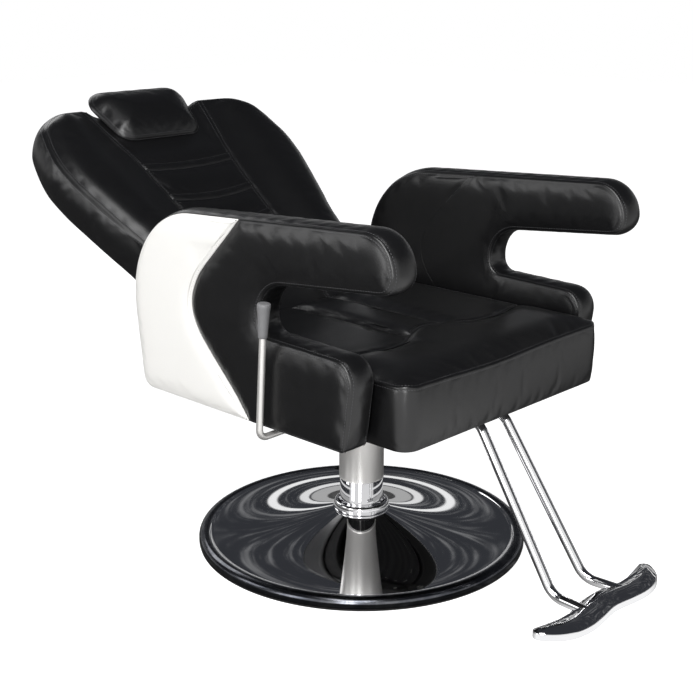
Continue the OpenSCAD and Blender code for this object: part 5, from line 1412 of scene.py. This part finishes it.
class CHAIR_OT_base(bpy.types.Operator):
    """Chrome base cover, collar and column tubes"""
    bl_idname = "chair.base"
    bl_label = "Base"

    def painted_dark_rim(self, chrome, radius):
        """The same chrome with its rolled rim painted dark beyond a radius, a painted dark reflection of the floor
        beside the base, and made rougher there.
        """
        mat = chrome.copy()
        mat.name = "Chrome with Dulled Rim"
        tree = mat.node_tree
        shader = tree.nodes["Principled BSDF"]
        where = node(tree, "ShaderNodeTexCoord").outputs["Object"]
        length = node(tree, "ShaderNodeVectorMath", operation="LENGTH")
        tree.links.new(stretched(tree, where, (1, 1, 0)), length.inputs[0])
        rim = fade(tree, length.outputs["Value"], radius + 0.003, radius + 0.006)
        patches = fade(tree, noise(tree, where, 22.0, 5.0, 0.7), 0.30, 0.62, 0.85, 1.0)
        rim_shade_mask = maths(tree, "MULTIPLY", rim, patches)
        colour = shader.inputs["Base Color"].links[0].from_socket
        rough = shader.inputs["Roughness"].links[0].from_socket
        # Painted shade: the rim's chrome colour goes to a dark blue-grey in patches, a painted dark reflection
        tree.links.new(blend_colour(tree, rim_shade_mask, colour, (0.085, 0.09, 0.105, 1)), shader.inputs["Base Color"])
        rougher = maths(tree, "ADD", rough, maths(tree, "MULTIPLY", rim_shade_mask, 0.17))
        tree.links.new(rougher, shader.inputs["Roughness"])
        return mat

    def execute(self, context):
        mats = MADE["materials"]
        rim_r, rim_half, mid_z, rim_h = 0.2965, 0.0135, 0.0112, 0.022
        crease_r, crease_z, lip_r, lip_z = 0.286, 0.018, 0.044, 0.058
        neck_r, sweep = 0.052, 1.9

        def dish(inset):
            pts = [(0.310 - inset, 0.004)]
            for deg in np.linspace(0, 128, 30):
                a = math.radians(deg)
                pts.append((rim_r + (rim_half - inset) * math.cos(a),
                            mid_z + (rim_h - mid_z - inset) * math.sin(a)))
            r = np.linspace(crease_r - inset, neck_r, 70)
            z = crease_z + (lip_z - crease_z) * ((crease_r - r) / (crease_r - neck_r)).clip(0) ** sweep
            pts += [(float(x), float(y) - inset) for x, y in zip(r, z)]
            pts.append((lip_r, lip_z - inset))
            return pts

        ob = spun("base_dish", dish(0.0) + dish(0.002)[::-1], 256)
        paint(ob, self.painted_dark_rim(mats["mirror_chrome"], crease_r))
        dress(ob, "base", "mirror_chrome", "base_cover")

        outer, inner, z0, h = 0.052, 0.04125, 0.058, 0.018
        profile = [(inner + 0.003, z0), (outer - 0.001, z0), (outer, z0 + 0.001)]
        profile += [(outer - 0.005 + 0.005 * math.cos(a), z0 + h - 0.006 + 0.005 * math.sin(a))
                    for a in np.linspace(0, math.pi / 2, 10)]
        profile += [(inner + 0.0052 + 0.0008 * math.cos(a), z0 + h - 0.0018 + 0.0008 * math.sin(a))
                    for a in np.linspace(math.pi / 2, math.pi, 5)]
        profile += [(inner + 0.0012, z0 + h - 0.006), (inner, z0 + h - 0.008), (inner, z0 + 0.003)]
        ob = spun("collar", profile, 160)
        paint(ob, mats["mirror_chrome"])
        dress(ob, "base", "mirror_chrome", "collar_ring")

        r0, r1, low, high = 0.04115, 0.04225, 0.1206, 0.2938
        edge = 0.0004
        profile = [(r0, low + edge), (r0 + edge, low), (r1 - edge, low), (r1, low + edge), (r1, low + 0.003)]
        profile += [(r1, z) for z in np.linspace(low + 0.01, high - 0.004, 12)]
        profile += [(r1, high - edge), (r1 - edge, high), (r0 + edge, high), (r0, high - edge)]
        ob = spun("column_sleeve", profile, 160)
        paint(ob, mats["satin_steel"])
        dress(ob, "seat", "satin_steel", "outer_sleeve")
        return {"FINISHED"}


FOOT_RIGHT = [(0, 0), (45, -6), (82, -9), (116, -4), (141, 9), (160, 29), (165, 43), (157, 53), (140, 50),
              (118, 45.5), (86, 40), (60, 44), (30, 50), (0, 51)]
FOOT_LOW, FOOT_EDGE, FOOT_MID = 0.043, 0.014, -0.566
# The plate's crown: its height and how soon it rises from the edge. The hub: its height and its half sizes
FOOT_CROWN, FOOT_ROUND, HUB = 0.0085, 0.012, (0.0070, 0.018, 0.011)
# Ripples round the hub: their height for each metre across and their number for each radian
RIPPLE, RIPPLES = 0.0030, 60
# Where the rows that fill the top of the foot plate end, to either side
SPINE_HALF = 0.135


class CHAIR_OT_footrest(bpy.types.Operator):
    """Footrest tubes and winged foot plate"""
    bl_idname = "chair.footrest"
    bl_label = "Footrest"

    def execute(self, context):
        mats = MADE["materials"]
        yaw = math.atan2(12, 161)
        bend, z_top, z_low, slope = 0.040, 0.3145, 0.055, math.radians(56.1)
        top_run, radius = 0.300, 0.0085
        low_run = top_run + (z_top - z_low) / math.tan(slope)
        tan = bend * math.tan(slope / 2)
        line = [(0.208, z_top), (top_run - tan, z_top)]
        centre = (top_run - tan, z_top - bend)
        for a in np.linspace(math.pi / 2, math.pi / 2 - slope, 20)[1:]:
            line.append((centre[0] + bend * math.cos(a), centre[1] + bend * math.sin(a)))
        centre = (low_run + tan, z_low + bend)
        for a in np.linspace(1.5 * math.pi - slope, 1.5 * math.pi, 20):
            line.append((centre[0] + bend * math.cos(a), centre[1] + bend * math.sin(a)))
        line.append((0.545, z_low))
        line = even(np.array(line), 150)
        x0 = 0.033 - top_run * math.tan(yaw)
        for side, name in ((1, "left"), (-1, "right")):
            path = [(side * (x0 + r * math.sin(yaw)), -r * math.cos(yaw), z) for r, z in line]
            ob = swept("foot_tube_" + name + "_chrome", path, radius, 48)
            paint(ob, mats["mirror_chrome"])
            dress(ob, "seat", "mirror_chrome", "foot_tube_" + name)

        right = [(x / 1000, FOOT_MID + y / 1000) for x, y in FOOT_RIGHT]
        outline = flow(right + [(-x, y) for x, y in right[-2:0:-1]], True, 10)
        n = len(outline)
        step = inward(outline)
        rows = []

        def top_z(p, d):
            """Crown that falls gently to the rear, with ripples that fan from the hub to the wing tips."""
            x, y = np.abs(p[:, 0]), p[:, 1]
            crown = FOOT_CROWN * (1 - np.exp(-(d / FOOT_ROUND) ** 1.3))
            hub = HUB[0] * np.exp(-((x / HUB[1]) ** 2 + ((y - FOOT_MID - 0.034) / HUB[2]) ** 2))
            behind = y - FOOT_MID - 0.013 - 0.017 * (x / 0.075 - 1) ** 2
            fan = np.arctan2(y - FOOT_MID - 0.030, x)
            ripple = RIPPLE * x * np.cos(RIPPLES * fan) * ease(behind / 0.006) * ease(x / 0.02)
            fall = 0.07 * np.maximum(behind, 0)
            return FOOT_LOW + FOOT_EDGE - 0.0012 + crown - fall + (hub + ripple) * ease(d / 0.008)

        cover = Cover()
        walls = [(0.0012, FOOT_LOW), (0.0003, FOOT_LOW + 0.0003), (0.0, FOOT_LOW + 0.0012),
                 (0.0, FOOT_LOW + 0.004), (0.0, FOOT_LOW + FOOT_EDGE - 0.005),
                 (0.0, FOOT_LOW + FOOT_EDGE - 0.0030), (0.0005, FOOT_LOW + FOOT_EDGE - 0.0018)]
        for d, z in walls:
            rows.append(cover.add(np.column_stack([outline + step * d, np.full(n, z)]), 0))
        for a, b in zip(rows, rows[1:]):
            cover.quads(a, np.roll(a, -1), np.roll(b, -1), b, 0)
        turned = np.roll(np.arange(n), -nearest(outline, (-0.160, FOOT_MID + 0.029)))
        loop = outline[turned]
        lift_rows = (0.0015, 0.0035, 0.006)
        inner_step = step[turned]
        ids = [rows[-1][turned]]
        for d in lift_rows:
            p = loop + inner_step * d
            ids.append(cover.add(np.column_stack([p, top_z(p, np.full(n, d))]), 0))
        for a, b in zip(ids, ids[1:]):
            cover.quads(a, np.roll(a, -1), np.roll(b, -1), b, 0)
        # The rest of the top narrows to the spine in rows drawn towards it
        x = np.clip(loop[:, 0], -SPINE_HALF, SPINE_HALF)
        spine = np.column_stack([x, FOOT_MID + 0.026 + 0.010 * np.abs(x) / SPINE_HALF])
        start = loop + inner_step * lift_rows[-1]
        for t in (0.1, 0.2, 0.3, 0.4, 0.5, 0.6, 0.7, 0.8, 0.88, 0.95):
            p = start + (spine - start) * t
            d = np.linalg.norm(p[:, None, :] - outline[None, :, :], axis=2).min(1)
            ids.append(cover.add(np.column_stack([p, top_z(p, d)]), 0))
            cover.quads(ids[-2], np.roll(ids[-2], -1), np.roll(ids[-1], -1), ids[-1], 0)
        ob, _ = cover.mesh("foot_plate_chrome")
        outward(ob, close=True)
        ob.data.polygons.foreach_set("use_smooth", [True] * len(ob.data.polygons))
        finer(ob)
        paint(ob, mats["mirror_chrome"])
        dress(ob, "seat", "mirror_chrome", "foot_plate")
        return {"FINISHED"}


class CHAIR_OT_hardware(bpy.types.Operator):
    """Lever grip, screws and staples"""
    bl_idname = "chair.hardware"
    bl_label = "Hardware"

    def execute(self, context):
        mats = MADE["materials"]
        lean = math.radians(4.3)
        low, bore = 0.173, 0.0058
        grip = [(bore, 0), (0.0070, 0), (0.0076, 0.0008), (0.0079, 0.006), (0.0086, 0.020), (0.0094, 0.034),
                (0.0101, 0.044), (0.0108, 0.049), (0.0110, 0.0515), (0.0110, 0.0540), (0.0106, 0.0555),
                (0.0096, 0.0566), (0.0060, 0.0570), (0.0, 0.0568), (0.0, 0.044), (bore, 0.043)]
        ob = spun("lever_handle", [(r, low + z) for r, z in grip], 64)
        c, s = math.cos(lean), math.sin(lean)
        turn = np.array([[1, 0, 0], [0, c, -s], [0, s, c]])
        set_coords(ob, coords(ob) @ turn.T + np.array([-0.350, -0.100, 0.317]))
        paint(ob, mats["grey_plastic"])
        dress(ob, "lever", "grey_plastic", "lever_grip")

        heads = {"Radius": 0.0045, "Height": 0.0030, "Material": mats["zinc_steel"]}
        tree = MADE["copies_tree"]
        on_bracket = ((0.195, 0.040), (0.195, 0.092), (0.222, 0.066))
        spots = [(sx * x, s, -0.0365) for sx in (-1, 1) for x, s in on_bracket]
        spots += [(-0.125 + dx, s, -0.0355) for dx in (-0.016, 0.016) for s in (0.025, 0.070)]
        ob = grow("bracket_screws", back_point(np.array(spots)), [], tree, dict(heads, Axis=tuple(-BACK_OUT)))
        dress(ob, "back", "zinc_steel")
        spots = [(sx * x, y, 0.315) for sx in (-1, 1) for x, y in ((0.110, 0.098), (0.220, 0.098))]
        spots += [(sx * 0.150, -0.220, 0.302) for sx in (-1, 1)]
        spots += [(-0.232, -0.1, 0.303)]
        ob = grow("frame_screws", spots, [], tree, dict(heads, Axis=(0.0, 0.0, -1.0)))
        dress(ob, "seat", "zinc_steel")

        # Staples that hold the cover under the seat board, as short bars in a row
        sizes = {"Pitch": 0.030, "Length": 0.011, "Thread": 0.0012, "Material": mats["zinc_steel"]}
        h, f, r = 0.236, -0.306, 0.078
        ring = rounded([(-h, f, 0.03), (h, f, 0.03), (h, r, 0.01), (-h, r, 0.01)])
        pts = [(x, y, 0.3269) for x, y in ring] + [(ring[0][0], ring[0][1], 0.3269)]
        ob = grow("seat_staples", pts, [(k, k + 1) for k in range(len(pts) - 1)], MADE["row_tree"], sizes)
        dress(ob, "seat", "zinc_steel")
        return {"FINISHED"}


class CHAIR_PT_panel(bpy.types.Panel):
    """Lists the chair's steps and settings"""
    bl_idname = "CHAIR_PT_panel"
    bl_label = "Barber Chair"
    bl_space_type = "VIEW_3D"
    bl_region_type = "UI"
    bl_category = "Barber Chair"

    def draw(self, context):
        layout = self.layout
        for group in ("chair_sizes", "chair_colours", "chair_metal"):
            settings = getattr(context.scene, group)
            for name in settings.bl_rna.properties.keys():
                if name not in ("rna_type", "name"):
                    layout.prop(settings, name)
        for step in STEPS:
            layout.operator(step.bl_idname)


STEPS = (CHAIR_OT_stage, CHAIR_OT_finishes, CHAIR_OT_seat, CHAIR_OT_arms, CHAIR_OT_back, CHAIR_OT_headrest,
         CHAIR_OT_base, CHAIR_OT_footrest, CHAIR_OT_hardware)
CLASSES = (CoverSizes, CoverColours, ChairMetal) + STEPS + (CHAIR_PT_panel,)


def register():
    for cls in CLASSES:
        bpy.utils.register_class(cls)
    bpy.types.Scene.chair_sizes = PointerProperty(type=CoverSizes)
    bpy.types.Scene.chair_colours = PointerProperty(type=CoverColours)
    bpy.types.Scene.chair_metal = PointerProperty(type=ChairMetal)


def unregister():
    for name in ("chair_sizes", "chair_colours", "chair_metal"):
        delattr(bpy.types.Scene, name)
    for cls in reversed(CLASSES):
        bpy.utils.unregister_class(cls)


def main():
    register()
    for step in STEPS:
        group, name = step.bl_idname.split(".")
        getattr(getattr(bpy.ops, group), name)()


if __name__ == "__main__":
    main()
